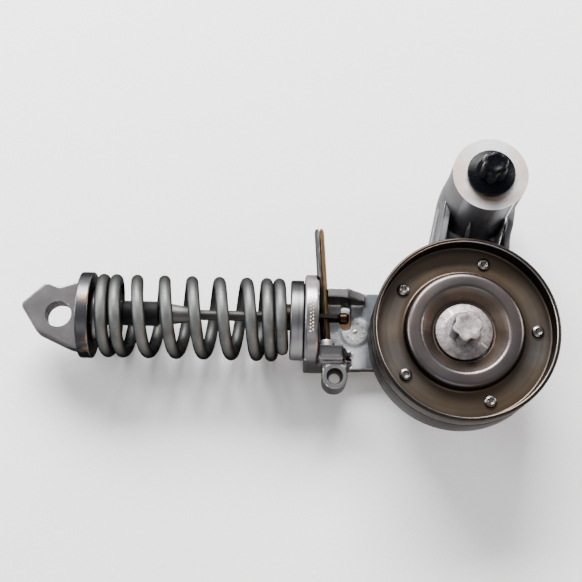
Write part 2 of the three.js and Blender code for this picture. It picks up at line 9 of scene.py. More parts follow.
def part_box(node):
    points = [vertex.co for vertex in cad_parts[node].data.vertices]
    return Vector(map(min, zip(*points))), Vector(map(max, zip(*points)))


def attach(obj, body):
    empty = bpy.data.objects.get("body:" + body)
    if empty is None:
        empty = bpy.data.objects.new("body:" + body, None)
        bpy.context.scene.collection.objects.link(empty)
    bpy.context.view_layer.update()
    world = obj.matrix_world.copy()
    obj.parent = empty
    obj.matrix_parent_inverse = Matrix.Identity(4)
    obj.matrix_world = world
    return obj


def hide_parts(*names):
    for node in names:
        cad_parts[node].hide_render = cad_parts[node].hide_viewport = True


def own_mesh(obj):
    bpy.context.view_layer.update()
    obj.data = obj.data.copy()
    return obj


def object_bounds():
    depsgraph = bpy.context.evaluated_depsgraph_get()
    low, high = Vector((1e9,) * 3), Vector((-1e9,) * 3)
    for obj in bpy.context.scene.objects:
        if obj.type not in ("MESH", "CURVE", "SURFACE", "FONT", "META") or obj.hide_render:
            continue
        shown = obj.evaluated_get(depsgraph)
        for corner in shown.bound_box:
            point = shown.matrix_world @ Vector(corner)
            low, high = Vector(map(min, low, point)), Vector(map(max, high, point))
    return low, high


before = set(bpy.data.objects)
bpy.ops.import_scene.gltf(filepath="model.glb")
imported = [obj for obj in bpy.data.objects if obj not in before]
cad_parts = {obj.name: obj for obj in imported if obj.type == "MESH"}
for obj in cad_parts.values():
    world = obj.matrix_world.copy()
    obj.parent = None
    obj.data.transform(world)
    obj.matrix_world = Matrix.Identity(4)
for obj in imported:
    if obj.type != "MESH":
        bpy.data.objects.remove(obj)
cad_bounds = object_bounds()

MM = 0.001
ROUND = 144                       # segments round a large turned piece
VOXEL = 0.42 * MM                 # grid of the cast pieces before machining


def middle(node):
    low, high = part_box(node)
    return (low + high) / 2 / MM


# ------------ places, in mm, from the frame

PULLEY = middle("bearing_outer_ring")
PULLEY.z = (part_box("pulley_front_half")[1].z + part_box("pulley_rear_half")[0].z) / 2 / MM
STRUT = middle("spring_seat_cup")
STRUT.x = PULLEY.x
ORIGIN = Vector((0, 0, 0))
ARM_LEAN = math.atan2(PULLEY.x, -PULLEY.y)    # the arm's line, turned from -Y
BOSS_FACE = 46                                # front end of the arm's pivot boss
BOSS_SIDE = 15.15                             # arm's radius round the pivot
RIM, HALF_WIDTH = 35, 12.5                    # pulley, under the belt
HUB_Y = PULLEY.y - STRUT.y                    # pulley axis, seen from the strut axis
SEAT_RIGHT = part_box("spring_seat_cup")[0].x / MM - STRUT.x
SEAT_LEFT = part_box("bump_stop")[0].x / MM - STRUT.x - 4.3
ROD_Y = middle("strut_rod").y - STRUT.y
EAR = Vector((-47.65, -22.8, 0))              # strut frame, like the four below
PAD = Vector((-39.2, -1.8, 0))                # round pad on the housing's floor
EYE = (-156.8, -0.8)                          # the strut's eye hole
PIN_FOOT = Vector((-51.4, -7.4, 0))
PIN_TOP = Vector((-54.7, 38, 0))
PIN_SLOPE = (PIN_TOP.x - PIN_FOOT.x) / (PIN_TOP.y - PIN_FOOT.y)
STRUT_HEAD = STRUT + Vector((0, HUB_Y, 0))    # round the pulley's axis
ROD_LINE = STRUT + Vector((0, ROD_Y, 0))
FRONT = Vector((0, 0, 1))                     # the way the part's front faces
ON_EDGE = Matrix.Rotation(math.pi / 2, 4, "X")


# ------------ mesh helpers

def rounded(corners, steps=6):
    """Outline with each (x, y, radius) corner turned into an arc."""
    points = []
    count = len(corners)
    for i, (x, y, radius) in enumerate(corners):
        here = Vector((x, y))
        if radius <= 0:
            points.append(here)
            continue
        before = Vector(corners[i - 1][:2]) - here
        after = Vector(corners[(i + 1) % count][:2]) - here
        half = before.angle(after) / 2
        reach = min(radius / math.tan(half), before.length * 0.49, after.length * 0.49)
        radius = reach * math.tan(half)
        start = here + before.normalized() * reach
        end = here + after.normalized() * reach
        centre = here + (before.normalized() + after.normalized()).normalized() \
            * (radius / math.sin(half))
        a = start - centre
        turn = a.angle_signed(end - centre)
        for k in range(steps + 1):
            angle = -turn * k / steps
            points.append(centre + Matrix.Rotation(angle, 2) @ a)
    return points


def finish_mesh(mesh, sharp=32):
    """Outward normals, smooth but for edges sharper than so many degrees."""
    bm = bmesh.new()
    bm.from_mesh(mesh)
    bmesh.ops.recalc_face_normals(bm, faces=bm.faces)
    bm.to_mesh(mesh)
    bm.free()
    mesh.polygons.foreach_set("use_smooth", [True] * len(mesh.polygons))
    mesh.set_sharp_from_angle(angle=math.radians(sharp))


def add_object(name, data):
    obj = bpy.data.objects.new(name, data)
    bpy.context.scene.collection.objects.link(obj)
    return obj


def new_object(name, points, faces, sharp=32):
    mesh = bpy.data.meshes.new(name)
    mesh.from_pydata([tuple(Vector(p) * MM) for p in points], [], faces)
    mesh.validate()
    finish_mesh(mesh, sharp)
    return add_object(name, mesh)


def side_faces(levels, around):
    """Quads between closed loops of points that follow each other."""
    faces = []
    for a in range(0, (levels - 1) * around, around):
        b = a + around
        for k in range(around):
            n = (k + 1) % around
            faces.append([a + k, a + n, b + n, b + k])
    return faces


def loft(name, points, around, sharp):
    """Solid through closed loops of points, capped at both ends."""
    faces = side_faces(len(points) // around, around)
    faces.append(list(range(around))[::-1])
    faces.append(list(range(len(points) - around, len(points))))
    return new_object(name, points, faces, sharp)


def on_axis(axis, radius, height, angle):
    across, up = radius * math.cos(angle), radius * math.sin(angle)
    return Vector((across, up, height)) if axis == "Z" else Vector((height, across, up))


def lathe(name, corners, origin=ORIGIN, axis="Z", segments=ROUND, steps=6):
    """Turned solid: (radius, height, fillet) corners spun about an axis through origin."""
    outline = rounded(corners, steps)
    points, rings, faces = [], [], []
    for radius, height in outline:
        spokes = 1 if radius < 1e-5 else segments
        rings.append((len(points), spokes))
        for k in range(spokes):
            points.append(origin + on_axis(axis, radius, height, 2 * math.pi * k / segments))
    for i, (first, spokes) in enumerate(rings):
        second, other = rings[(i + 1) % len(rings)]
        if spokes == 1 and other == 1:
            continue
        for k in range(segments):
            n = (k + 1) % segments
            quad = [first + k % spokes, first + n % spokes, second + n % other, second + k % other]
            faces.append(list(dict.fromkeys(quad)))
    return new_object(name, points, faces)


def tube(name, inner, outer, low, high, origin=ORIGIN, fillets=(0.2, 0.2)):
    """Turned ring about Z, with fillets at its bore and its outside."""
    return lathe(name, [(inner, low, fillets[0]), (outer, low, fillets[1]),
                        (outer, high, fillets[1]), (inner, high, fillets[0])], origin)


def prism(name, outline, low, high, axis="Z", origin=ORIGIN):
    """Outline of (x, y) or (y, z) points pushed along Z or X."""
    count = len(outline)
    points = []
    for level in (low, high):
        for u, v in outline:
            flat = Vector((u, v, level)) if axis == "Z" else Vector((level, u, v))
            points.append(origin + flat)
    caps = [list(range(count))[::-1], list(range(count, 2 * count))]
    return new_object(name, points, caps + side_faces(2, count))


def cylinder(radius, low, high, at=(0, 0), axis="Z", origin=ORIGIN, segments=96):
    shift = Vector((at[0], at[1], 0)) if axis == "Z" else Vector((0, at[0], at[1]))
    return lathe("tool", [(0, low, 0), (radius, low, 0), (radius, high, 0), (0, high, 0)],
                 origin + shift, axis, segments)


def box_solid(low, high, origin=ORIGIN):
    outline = [(low[0], low[1]), (high[0], low[1]), (high[0], high[1]), (low[0], high[1])]
    return prism("tool", outline, low[2], high[2], origin=origin)


def apply_modifiers(obj):
    bpy.context.view_layer.update()
    shaped = obj.evaluated_get(bpy.context.evaluated_depsgraph_get())
    mesh = bpy.data.meshes.new_from_object(shaped)
    obj.modifiers.clear()
    old, obj.data = obj.data, mesh
    bpy.data.meshes.remove(old)
    mesh.name = obj.name


def merge(name, pieces):
    """One object from several, as they stand."""
    bm = bmesh.new()
    for piece in pieces:
        bm.from_mesh(piece.data)
        bpy.data.objects.remove(piece)
    mesh = bpy.data.meshes.new(name)
    bm.to_mesh(mesh)
    bm.free()
    finish_mesh(mesh)
    return add_object(name, mesh)


def cut(obj, tools):
    for tool in tools:
        step = obj.modifiers.new("cut", "BOOLEAN")
        step.operation = "DIFFERENCE"
        step.solver = "EXACT"
        step.object = tool
    apply_modifiers(obj)
    for tool in tools:
        bpy.data.objects.remove(tool)
    finish_mesh(obj.data)
    return obj


def fuse(obj, voxel):
    step = obj.modifiers.new("fuse", "REMESH")
    step.mode = "VOXEL"
    step.voxel_size = voxel


def cast(name, solids, pockets, machining, voxel=VOXEL, soften=7):
    """Cast piece: solids fused with soft corners, then machined faces and bores cut crisply."""
    obj = merge(name, solids)
    fuse(obj, voxel)
    apply_modifiers(obj)
    if pockets:
        cut(obj, pockets)
        fuse(obj, voxel)
    smooth = obj.modifiers.new("soften", "SMOOTH")
    smooth.factor = 0.5
    smooth.iterations = soften
    apply_modifiers(obj)
    return cut(obj, machining)


# ------------ material helpers

class Nodes:
    """Short ways to add and link shader nodes."""

    def __init__(self, name):
        self.material = bpy.data.materials.new(name)
        self.material.use_nodes = True
        self.tree = self.material.node_tree
        self.shader = self.tree.nodes["Principled BSDF"]
        self.place = self.add("ShaderNodeTexCoord").outputs["Object"]

    def add(self, kind, **values):
        node = self.tree.nodes.new(kind)
        for key, value in values.items():
            setattr(node, key, value)
        return node

    def link(self, source, target):
        self.tree.links.new(source, target)

    def noise(self, scale, detail=3.0, roughness=0.55, stretch=None):
        """Noise over the piece; scale is in waves per millimetre."""
        place = self.place
        if stretch:
            mapping = self.add("ShaderNodeMapping")
            mapping.inputs["Scale"].default_value = stretch
            self.link(place, mapping.inputs["Vector"])
            place = mapping.outputs["Vector"]
        node = self.add("ShaderNodeTexNoise")
        node.inputs["Scale"].default_value = scale / MM
        node.inputs["Detail"].default_value = detail
        node.inputs["Roughness"].default_value = roughness
        self.link(place, node.inputs["Vector"])
        return node.outputs["Fac"]

    def ramp(self, value, low=0.3, high=0.7, out_low=0.0, out_high=1.0):
        """Value stretched from one range to another; the usual range is a noise's."""
        node = self.add("ShaderNodeMapRange")
        node.inputs["From Min"].default_value = low
        node.inputs["From Max"].default_value = high
        node.inputs["To Min"].default_value = out_low
        node.inputs["To Max"].default_value = out_high
        self.link(value, node.inputs["Value"])
        return node.outputs["Result"]

    def spread(self, noise, out_low, out_high):
        return self.ramp(noise, out_low=out_low, out_high=out_high)

    def zone(self, value, low, high, out_low=0.0, out_high=1.0):
        """Ramp between two places on the piece, in mm."""
        return self.ramp(value, low * MM, high * MM, out_low, out_high)

    def band(self, value, start, full, fade, end):
        """Mask that rises from start to full and falls from fade to end, in mm."""
        return self.times(self.zone(value, start, full), self.zone(value, end, fade))

    def math(self, operation, a, b=0.0, c=0.0):
        node = self.add("ShaderNodeMath", operation=operation)
        for socket, value in zip(node.inputs, (a, b, c)):
            if isinstance(value, (int, float)):
                socket.default_value = value
            else:
                self.link(value, socket)
        return node.outputs[0]

    def times(self, a, b):
        return self.math("MULTIPLY", a, b)

    def plus(self, a, b):
        return self.math("ADD", a, b)

    def size(self, value):
        return self.math("ABSOLUTE", value)

    def mix(self, factor, a, b):
        node = self.add("ShaderNodeMix", data_type="RGBA")
        self.link(factor, node.inputs[0])
        for socket, value in ((node.inputs[6], a), (node.inputs[7], b)):
            if isinstance(value, tuple):
                socket.default_value = (*value, 1)
            else:
                self.link(value, socket)
        return node.outputs[2]

    def split(self, vector=None):
        node = self.add("ShaderNodeSeparateXYZ")
        self.link(vector or self.place, node.inputs[0])
        return node.outputs

    def vector(self, operation, a, b=(0, 0, 0)):
        node = self.add("ShaderNodeVectorMath", operation=operation)
        self.link(a, node.inputs[0])
        node.inputs[1].default_value = b
        return node.outputs

    def radius_from(self, centre, plane="XY"):
        """Distance from an axis through centre (mm), and the axis-centred vector."""
        local = self.vector("SUBTRACT", self.place, tuple(Vector(centre) * MM))[0]
        flat = self.vector("MULTIPLY", local, (1, 1, 0) if plane == "XY" else (0, 1, 1))[0]
        return self.vector("LENGTH", flat)["Value"], local

    def rings(self, centre, scale, plane="XY"):
        """Fine lines round an axis, as a turning tool or a press leaves."""
        radius, local = self.radius_from(centre, plane)
        parts = self.split(local)
        along = parts[2] if plane == "XY" else parts[0]
        spot = self.add("ShaderNodeCombineXYZ")
        self.link(radius, spot.inputs[0])
        self.link(along, spot.inputs[1])
        node = self.add("ShaderNodeTexNoise")
        node.inputs["Scale"].default_value = scale / MM
        node.inputs["Detail"].default_value = 4
        self.link(spot.outputs[0], node.inputs["Vector"])
        return node.outputs["Fac"]

    def bump(self, heights):
        """Stack of (height, depth in mm) bumps."""
        normal = None
        for height, depth in heights:
            node = self.add("ShaderNodeBump")
            node.inputs["Strength"].default_value = 1.0
            node.inputs["Distance"].default_value = depth * MM
            self.link(height, node.inputs["Height"])
            if normal:
                self.link(normal, node.inputs["Normal"])
            normal = node.outputs["Normal"]
        self.link(normal, self.shader.inputs["Normal"])

    def normal(self):
        """X, Y and Z of the direction that a place on the piece faces."""
        return self.split(self.add("ShaderNodeTexCoord").outputs["Normal"])

    def facing(self, low, high):
        """How squarely a place faces the part's front or back."""
        return self.ramp(self.size(self.normal()[2]), low, high)

    def upward(self, low, high, most):
        """How much a place faces +Y, or -Y where low is above high."""
        return self.ramp(self.normal()[1], low, high, 0.0, most)

    def edge(self, low=0.52, high=0.62):
        """How strongly a place is an outer edge."""
        geometry = self.add("ShaderNodeNewGeometry")
        return self.ramp(geometry.outputs["Pointiness"], low, high)

    def done(self, color, roughness, metallic=1.0, specular=0.5, rim=0.5):
        """Link the shader; rim is how bright a metal's grazing reflections are, of 1."""
        self.link(color, self.shader.inputs["Base Color"])
        if isinstance(roughness, (int, float)):
            self.shader.inputs["Roughness"].default_value = roughness
        else:
            self.link(roughness, self.shader.inputs["Roughness"])
        self.shader.inputs["Metallic"].default_value = metallic
        self.shader.inputs["Specular IOR Level"].default_value = specular
        if metallic > 0.5:
            self.shader.inputs["Specular Tint"].default_value = (rim, rim, rim, 1)
        return self.material


# ------------ materials

def cast_aluminium():
    """Die-cast arm: satin skin with painted shade on its flanks, low surfaces and right wall,
    painted light in its channels, painted highlights along its walls and edges, bright turned end
    faces on the boss with a painted shadow under the bolt.
    """
    n = Nodes("cast_aluminium")
    blotch = n.noise(0.09, 4)
    grain = n.noise(2.6, 4)
    skin = n.mix(n.ramp(blotch), (0.26, 0.255, 0.265), (0.40, 0.395, 0.40))
    # painted shade: places that face away from the front and back are darkened
    painted_flank_shade = n.mix(n.ramp(blotch, 0.35, 0.65), (0.112, 0.115, 0.125), (0.148, 0.145, 0.144))
    skin = n.mix(n.facing(0.55, 0.95), painted_flank_shade, skin)
    x, y, z = n.split()
    across = n.plus(n.times(x, math.cos(ARM_LEAN)), n.times(y, math.sin(ARM_LEAN)))
    # painted shade: the arm's lower surfaces, below 13.6 mm, are darkened
    skin = n.mix(n.zone(z, 13.6, 12.8, 0.0, 0.75), skin, (0.130, 0.130, 0.140))
    below = n.zone(y, -9, -11.5)
    # painted highlight: a strip along the left wall's sloped crest, below the boss
    painted_highlight_strip = n.times(n.band(across, -13.6, -13.1, -11.3, -10.9), n.facing(0.6, 0.9))
    # painted light: the channels and the skirt's front below the boss are lightened
    channel = n.times(below, n.zone(n.size(across), 9, 8.5))
    skin = n.mix(n.times(channel, 0.8), skin, (0.40, 0.40, 0.44))
    # painted highlight: a line along the right wall, lightened together with the strip above
    line = n.band(across, 9.5, 9.8, 10.4, 10.7)
    bright = n.times(n.plus(painted_highlight_strip, line), n.zone(z, 11, 13))
    skin = n.mix(n.times(bright, below), skin, (0.92, 0.91, 0.93))
    # painted highlight: outer edges below the boss are lightened
    skin = n.mix(n.times(below, n.edge(0.54, 0.66)), skin, (0.5, 0.49, 0.49))
    # painted shade: the right wall's outer side, below the boss, is darkened
    right = n.times(n.times(below, n.zone(z, 12.5, 14)), n.zone(across, 10.6, 11.2))
    skin = n.mix(right, skin, (0.030, 0.031, 0.035))
    machined = n.zone(z, BOSS_FACE - 0.2, BOSS_FACE - 0.05)
    turned = n.rings(ORIGIN, 1.6)
    tint = n.noise(0.09, 3)
    radius = n.radius_from(ORIGIN)[0]
    face = n.mix(n.ramp(turned, 0.35, 0.65), (0.86, 0.865, 0.87), (0.96, 0.96, 0.96))
    sides = n.zone(n.size(x), 5, 11)
    warm = n.times(sides, n.ramp(tint, 0.35, 0.6, 0.4, 1.0))
    face = n.mix(warm, face, (0.82, 0.63, 0.54))
    # painted shadow: the boss face is darkened and browned under the pivot bolt's flange
    shade = n.times(n.zone(y, -5.5, -10.5), n.zone(radius, 14.2, 10.2))
    face = n.mix(shade, face, (0.22, 0.13, 0.08))
    color = n.mix(machined, skin, face)
    rough = n.spread(grain, 0.30, 0.44)
    n.bump([(blotch, 0.12), (grain, 0.03), (turned, 0.012)])
    return n.done(color, rough, 0.95, rim=0.4)


def forged_aluminium():
    """Eye end: satin plate, round seat with a blue-grey edge and warm plating patches."""
    n = Nodes("forged_aluminium")
    blotch = n.noise(0.12, 4)
    grain = n.noise(2.0, 4)
    speck = n.noise(5.0, 2)
    skin = n.mix(n.ramp(blotch), (0.138, 0.129, 0.133), (0.196, 0.184, 0.188))
    skin = n.mix(n.ramp(speck, 0.62, 0.72), skin, (0.15, 0.14, 0.14))
    # painted shade on the flanks
    skin = n.mix(n.facing(0.2, 0.8), (0.040, 0.038, 0.040), skin)
    along = n.split()[0]
    left = STRUT.x + SEAT_LEFT - 5
    rim = n.radius_from(STRUT, "YZ")[0]
    seat = n.times(n.zone(along, left - 0.1, left), n.zone(rim, 16.0, 16.8))
    # painted shade on the seat's flanks
    band = n.mix(n.facing(0.45, 1.0), (0.014, 0.016, 0.021), (0.095, 0.095, 0.102))
    band = n.mix(n.ramp(n.noise(0.12, 4), 0.50, 0.68, 0.0, 0.7), band, (0.20, 0.115, 0.06))
    skin = n.mix(seat, skin, band)
    # painted highlight: outer edges are lightened
    skin = n.mix(n.edge(), skin, (0.38, 0.37, 0.36))
    n.bump([(blotch, 0.08), (grain, 0.012), (speck, 0.012)])
    return n.done(skin, n.spread(grain, 0.30, 0.40), 0.95, rim=0.15)


def rough_casting():
    """Strut housing: grey satin skin with painted shade on its flanks; its recessed floor sandy,
    and lighter as painted light, with painted shade towards the pulley.
    """
    n = Nodes("rough_casting")
    blotch = n.noise(0.14, 4)
    sand = n.noise(1.7, 5, 0.7)
    x, y, height = n.split()
    low = n.times(n.zone(height, 1.6, 0.4), n.ramp(n.normal()[2], 0.45, 0.9))
    skin = n.mix(n.ramp(blotch), (0.215, 0.207, 0.210), (0.32, 0.31, 0.312))
    # painted shade on the flanks
    skin = n.mix(n.facing(0.25, 0.9), (0.105, 0.100, 0.105), skin)
    # the floor's sandy texture is its own; its light tone is painted light on a floor that the
    # upper wall shades
    floor = n.mix(n.ramp(blotch, 0.35, 0.65), (0.50, 0.52, 0.55), (0.72, 0.73, 0.76))
    floor = n.mix(n.ramp(sand, 0.42, 0.62, 0.0, 0.8), floor, (0.88, 0.89, 0.90))
    # painted shade: the floor darkens towards the pulley
    shade = n.zone(x, STRUT.x - 42, STRUT.x - 34, 0.0, 0.95)
    floor = n.mix(shade, floor, (0.060, 0.070, 0.080))
    skin = n.mix(low, skin, floor)
    # painted shade: the lower block's front is darkened
    block = n.times(n.zone(y, STRUT.y - 6.5, STRUT.y - 8, 0.0, 0.55),
                    n.zone(y, STRUT.y - 18.6, STRUT.y - 17.4))
    block = n.times(block, n.zone(height, 0.5, 2))
    skin = n.mix(block, skin, (0.070, 0.067, 0.069))
    # painted highlight: outer edges are lightened
    skin = n.mix(n.edge(0.52, 0.60), skin, (0.50, 0.49, 0.485))
    rough = n.math("MULTIPLY_ADD", low, 0.14, n.spread(sand, 0.28, 0.38))
    n.bump([(blotch, 0.15), (n.times(sand, n.ramp(low, 0, 1, 0.12, 1)), 0.11)])
    return n.done(skin, rough, 0.95, rim=0.4)


def pulley_steel():
    """Pressed steel: dark satin, brownish, with drawing lines round the axis; painted shade on its
    flanks, round the bead, in the recess and by the rim, warm painted shade at the web's top and
    bottom, and painted highlights on its edges.
    """
    n = Nodes("pulley_steel")
    lines = n.rings(PULLEY, 0.9)
    fine = n.rings(PULLEY, 5.0)
    blotch = n.noise(0.06, 4)
    tint = n.noise(0.028, 2)
    radius, local = n.radius_from(PULLEY)
    front = n.zone(n.split(local)[2], 11.6, 12.0)
    skin = n.mix(n.ramp(blotch), (0.108, 0.100, 0.096), (0.158, 0.152, 0.150))
    skin = n.mix(n.ramp(tint, 0.42, 0.62, 0.0, 0.7), skin, (0.165, 0.118, 0.078))
    skin = n.mix(n.ramp(lines, 0.35, 0.65, 0.0, 0.3), skin, (0.185, 0.175, 0.170))
    plateau = n.band(radius, 16.0, 17.2, 21.6, 22.6)
    skin = n.mix(n.times(plateau, 0.7), skin, (0.096, 0.080, 0.083))
    # painted shade: the web outside the bead turns dark brown towards its top and bottom
    off_axis = n.size(n.split(local)[1])
    warm_brown = n.times(n.zone(off_axis, 8, 24, 0.0, 0.65), n.zone(radius, 22.6, 24))
    skin = n.mix(warm_brown, skin, (0.118, 0.078, 0.042))
    # painted shade on the flanks
    skin = n.mix(n.facing(0.1, 0.8), (0.034, 0.030, 0.027), skin)
    # painted highlight: outer edges are lightened
    skin = n.mix(n.edge(0.53, 0.64), skin, (0.22, 0.20, 0.195))
    # painted shade: the crease round the bead's foot is darkened, fading outwards
    groove = n.band(radius, 22.2, 22.7, 23.2, 26.5)
    skin = n.mix(n.times(groove, 0.75), skin, (0.070, 0.046, 0.028))
    # painted shade: the web darkens towards the rim's inner wall
    skin = n.mix(n.zone(radius, 30.2, 32.6, 0.0, 0.7), skin, (0.075, 0.056, 0.042))
    # painted shade: the recess round the bolt is darkened and browned
    recess = n.zone(radius, 16.4, 14.6)
    skin = n.mix(n.times(recess, 0.8), skin, (0.080, 0.056, 0.042))
    # painted shade: the rim's inner wall is darkened
    skin = n.mix(n.zone(radius, 32.6, 33.2, 0.0, 0.9), skin, (0.028, 0.024, 0.021))
    # painted highlight: a thin light ring along the rim's front inner edge
    painted_edge_highlight = n.band(radius, 33.35, 33.45, 33.62, 33.72)
    skin = n.mix(n.times(painted_edge_highlight, front), skin, (0.30, 0.285, 0.27))
    rough = n.spread(n.plus(n.times(blotch, 0.6), n.times(lines, 0.4)), 0.30, 0.42)
    rough = n.math("MULTIPLY_ADD", recess, 0.14, rough)
    n.bump([(lines, 0.010), (fine, 0.003), (n.noise(4.0, 3), 0.006)])
    return n.done(skin, rough, 1.0, rim=0.6)


def plain_metal(name, low, high, rough, painted_edge_highlight=None, side=0.3):
    """Metal with cloudy tone and fine grain, painted shade on its flanks and, when given, a
    painted highlight on its edges; side is how dark its flanks are painted, of 1.
    """
    n = Nodes(name)
    cloud = n.noise(0.15, 4)
    fine = n.noise(3.0, 4)
    skin = n.mix(n.ramp(cloud), low, high)
    # painted shade on the flanks
    dark = tuple(c * side for c in low)
    skin = n.mix(n.facing(0.1, 0.85), dark, skin)
    # painted highlight: outer edges are lightened
    if painted_edge_highlight:
        skin = n.mix(n.edge(0.53, 0.62), skin, painted_edge_highlight)
    n.bump([(fine, 0.01)])
    return n.done(skin, n.spread(fine, rough[0], rough[1]), 1.0, rim=0.5)


def turned_metal(name, centre, plane, low, high, rough, side=0.3, lit=0.05):
    """Metal with fine lines round its axis and painted shade on its flanks; turned about X, it has
    painted shade on its +Y side and painted light on its -Y side.
    """
    n = Nodes(name)
    lines = n.rings(centre, 0.9, plane)
    cloud = n.noise(0.15, 3)
    skin = n.mix(n.ramp(lines), low, high)
    # painted shade on the flanks
    dark = tuple(c * side for c in low)
    skin = n.mix(n.facing(lit, 0.85 + 0.3 * lit), dark, skin)
    if plane == "YZ":
        # painted shade on the +Y side, painted light on the -Y side
        skin = n.mix(n.upward(0.0, 0.8, 0.9), skin, tuple(c * 0.3 for c in low))
        skin = n.mix(n.upward(-0.3, -1.0, 0.35), skin, tuple(c * 1.6 for c in high))
    n.bump([(lines, 0.0015)])
    return n.done(skin, n.spread(cloud, rough[0], rough[1]), 1.0, rim=0.35)


def zinc_flake():
    """Pulley bolt: matt pinkish zinc, mottled, with duller blue-grey sides on the head."""
    n = Nodes("zinc_flake")
    cloud = n.noise(0.5, 5, 0.65)
    speck = n.noise(1.6, 4, 0.7)
    height = n.split(n.radius_from(PULLEY)[1])[2]
    skin = n.mix(n.ramp(cloud, 0.38, 0.62), (0.19, 0.165, 0.16), (0.43, 0.39, 0.382))
    skin = n.mix(n.ramp(speck, 0.55, 0.68, 0.0, 0.85), skin, (0.17, 0.15, 0.148))
    side = n.band(height, 6.4, 6.9, 13.8, 14.3)
    skin = n.mix(side, skin, (0.060, 0.068, 0.080))
    # painted shade: places facing -Y, such as the flange's lower side, are darkened
    skin = n.mix(n.upward(-0.06, -0.26, 0.4), skin, (0.13, 0.115, 0.105))
    # painted shade on the flanks
    skin = n.mix(n.facing(0.2, 0.9), (0.07, 0.072, 0.08), skin)
    # painted highlight: outer edges are lightened
    skin = n.mix(n.edge(0.53, 0.6), skin, (0.60, 0.585, 0.575))
    n.bump([(cloud, 0.08), (speck, 0.05)])
    return n.done(skin, n.spread(speck, 0.50, 0.66), 0.9)


def black_finish():
    """Pivot bolt: glossy black coating, lightened along its edges as a painted highlight."""
    n = Nodes("black_finish")
    speck = n.noise(1.6, 4, 0.65)
    skin = n.mix(n.ramp(speck, 0.45, 0.75), (0.0012, 0.0014, 0.0024), (0.005, 0.0055, 0.008))
    # painted highlight: outer edges are lightened
    skin = n.mix(n.edge(0.54, 0.66), skin, (0.030, 0.031, 0.037))
    n.bump([(speck, 0.05)])
    return n.done(skin, n.spread(speck, 0.20, 0.36), 0.0, 0.07)


def spring_coat():
    """Phosphated wire under clear coat: grey-green, fine orange peel, pinprick specks."""
    n = Nodes("spring_coat")
    cloud = n.noise(0.2, 4)
    peel = n.noise(1.5, 2)
    speck = n.noise(3.2, 3, 0.75)
    skin = n.mix(n.ramp(cloud), (0.122, 0.127, 0.123), (0.176, 0.181, 0.175))
    skin = n.mix(n.ramp(speck, 0.66, 0.74), skin, (0.05, 0.05, 0.048))
    # painted shade on the flanks
    skin = n.mix(n.facing(0.1, 0.9), (0.026, 0.027, 0.026), skin)
    # painted shade: the upper, +Y-facing side is darkened
    skin = n.mix(n.upward(0.05, 0.7, 0.85), skin, (0.045, 0.047, 0.045))
    n.bump([(peel, 0.03), (speck, 0.015)])
    return n.done(skin, n.spread(peel, 0.50, 0.62), 1.0, rim=0.2)


def rubber(name, tone):
    n = Nodes(name)
    cloud = n.noise(0.4, 4)
    pore = n.noise(4.5, 3)
    darker = tuple(c * 0.6 for c in tone)
    n.bump([(pore, 0.02)])
    return n.done(n.mix(n.ramp(cloud), darker, tone), n.spread(pore, 0.5, 0.7), 0.0, 0.15)


def pin_painted_reflections():
    """Lock pin: spring steel with painted reflections, dark blue-grey on its left half and warm
    brown on its right half.
    """
    n = Nodes("pin_painted_reflections")
    fine = n.noise(2.0, 3, stretch=(1, 0.15, 1))
    x, y, _ = n.split()
    start = PIN_FOOT.x + STRUT.x - PIN_SLOPE * (PIN_FOOT.y + STRUT.y)
    side = n.math("SUBTRACT", x, n.math("MULTIPLY_ADD", y, PIN_SLOPE, start * MM))
    wave = n.plus(side, n.spread(n.noise(0.25, 3), -0.5 * MM, 0.5 * MM))
    # painted reflections: the left half dark blue-grey, the right half warm brown
    steel = n.mix(n.ramp(fine), (0.030, 0.031, 0.033), (0.060, 0.060, 0.061))
    painted_warm_reflection = n.mix(n.ramp(fine), (0.17, 0.105, 0.05), (0.30, 0.195, 0.10))
    skin = n.mix(n.zone(wave, -0.4, 0.2), steel, painted_warm_reflection)
    # painted shade on the flanks
    skin = n.mix(n.facing(0.0, 0.5), (0.035, 0.028, 0.022), skin)
    n.bump([(fine, 0.006)])
    return n.done(skin, n.spread(fine, 0.32, 0.42), 1.0, rim=0.4)


def rod_steel():
    """Rod and taper: dull grey-brown steel, darker along its thin part and nearly black round the
    tongue.
    """
    n = Nodes("rod_steel")
    cloud = n.noise(0.15, 4)
    fine = n.noise(3.0, 4)
    skin = n.mix(n.ramp(cloud), (0.115, 0.111, 0.105), (0.175, 0.168, 0.160))
    # painted shade on the flanks
    skin = n.mix(n.facing(0.1, 0.85), (0.040, 0.038, 0.035), skin)
    along = n.split()[0]
    thin = n.zone(along, STRUT.x - 105, STRUT.x - 102, 0.0, 0.85)
    skin = n.mix(thin, skin, (0.045, 0.042, 0.041))
    tongue = n.zone(along, STRUT.x - 63, STRUT.x - 61)
    skin = n.mix(tongue, skin, (0.022, 0.019, 0.018))
    n.bump([(fine, 0.01)])
    return n.done(skin, n.spread(fine, 0.48, 0.60), 1.0, rim=0.5)


def warm_painted_reflection():
    """Plate in the housing's window: copper-warm as a painted reflection, slightly clouded."""
    n = Nodes("warm_painted_reflection")
    fine = n.noise(1.2, 3)
    skin = n.mix(n.ramp(fine), (1.0, 0.54, 0.25), (1.0, 0.64, 0.36))
    n.bump([(fine, 0.02)])
    return n.done(skin, n.spread(fine, 0.5, 0.65), 0.0)


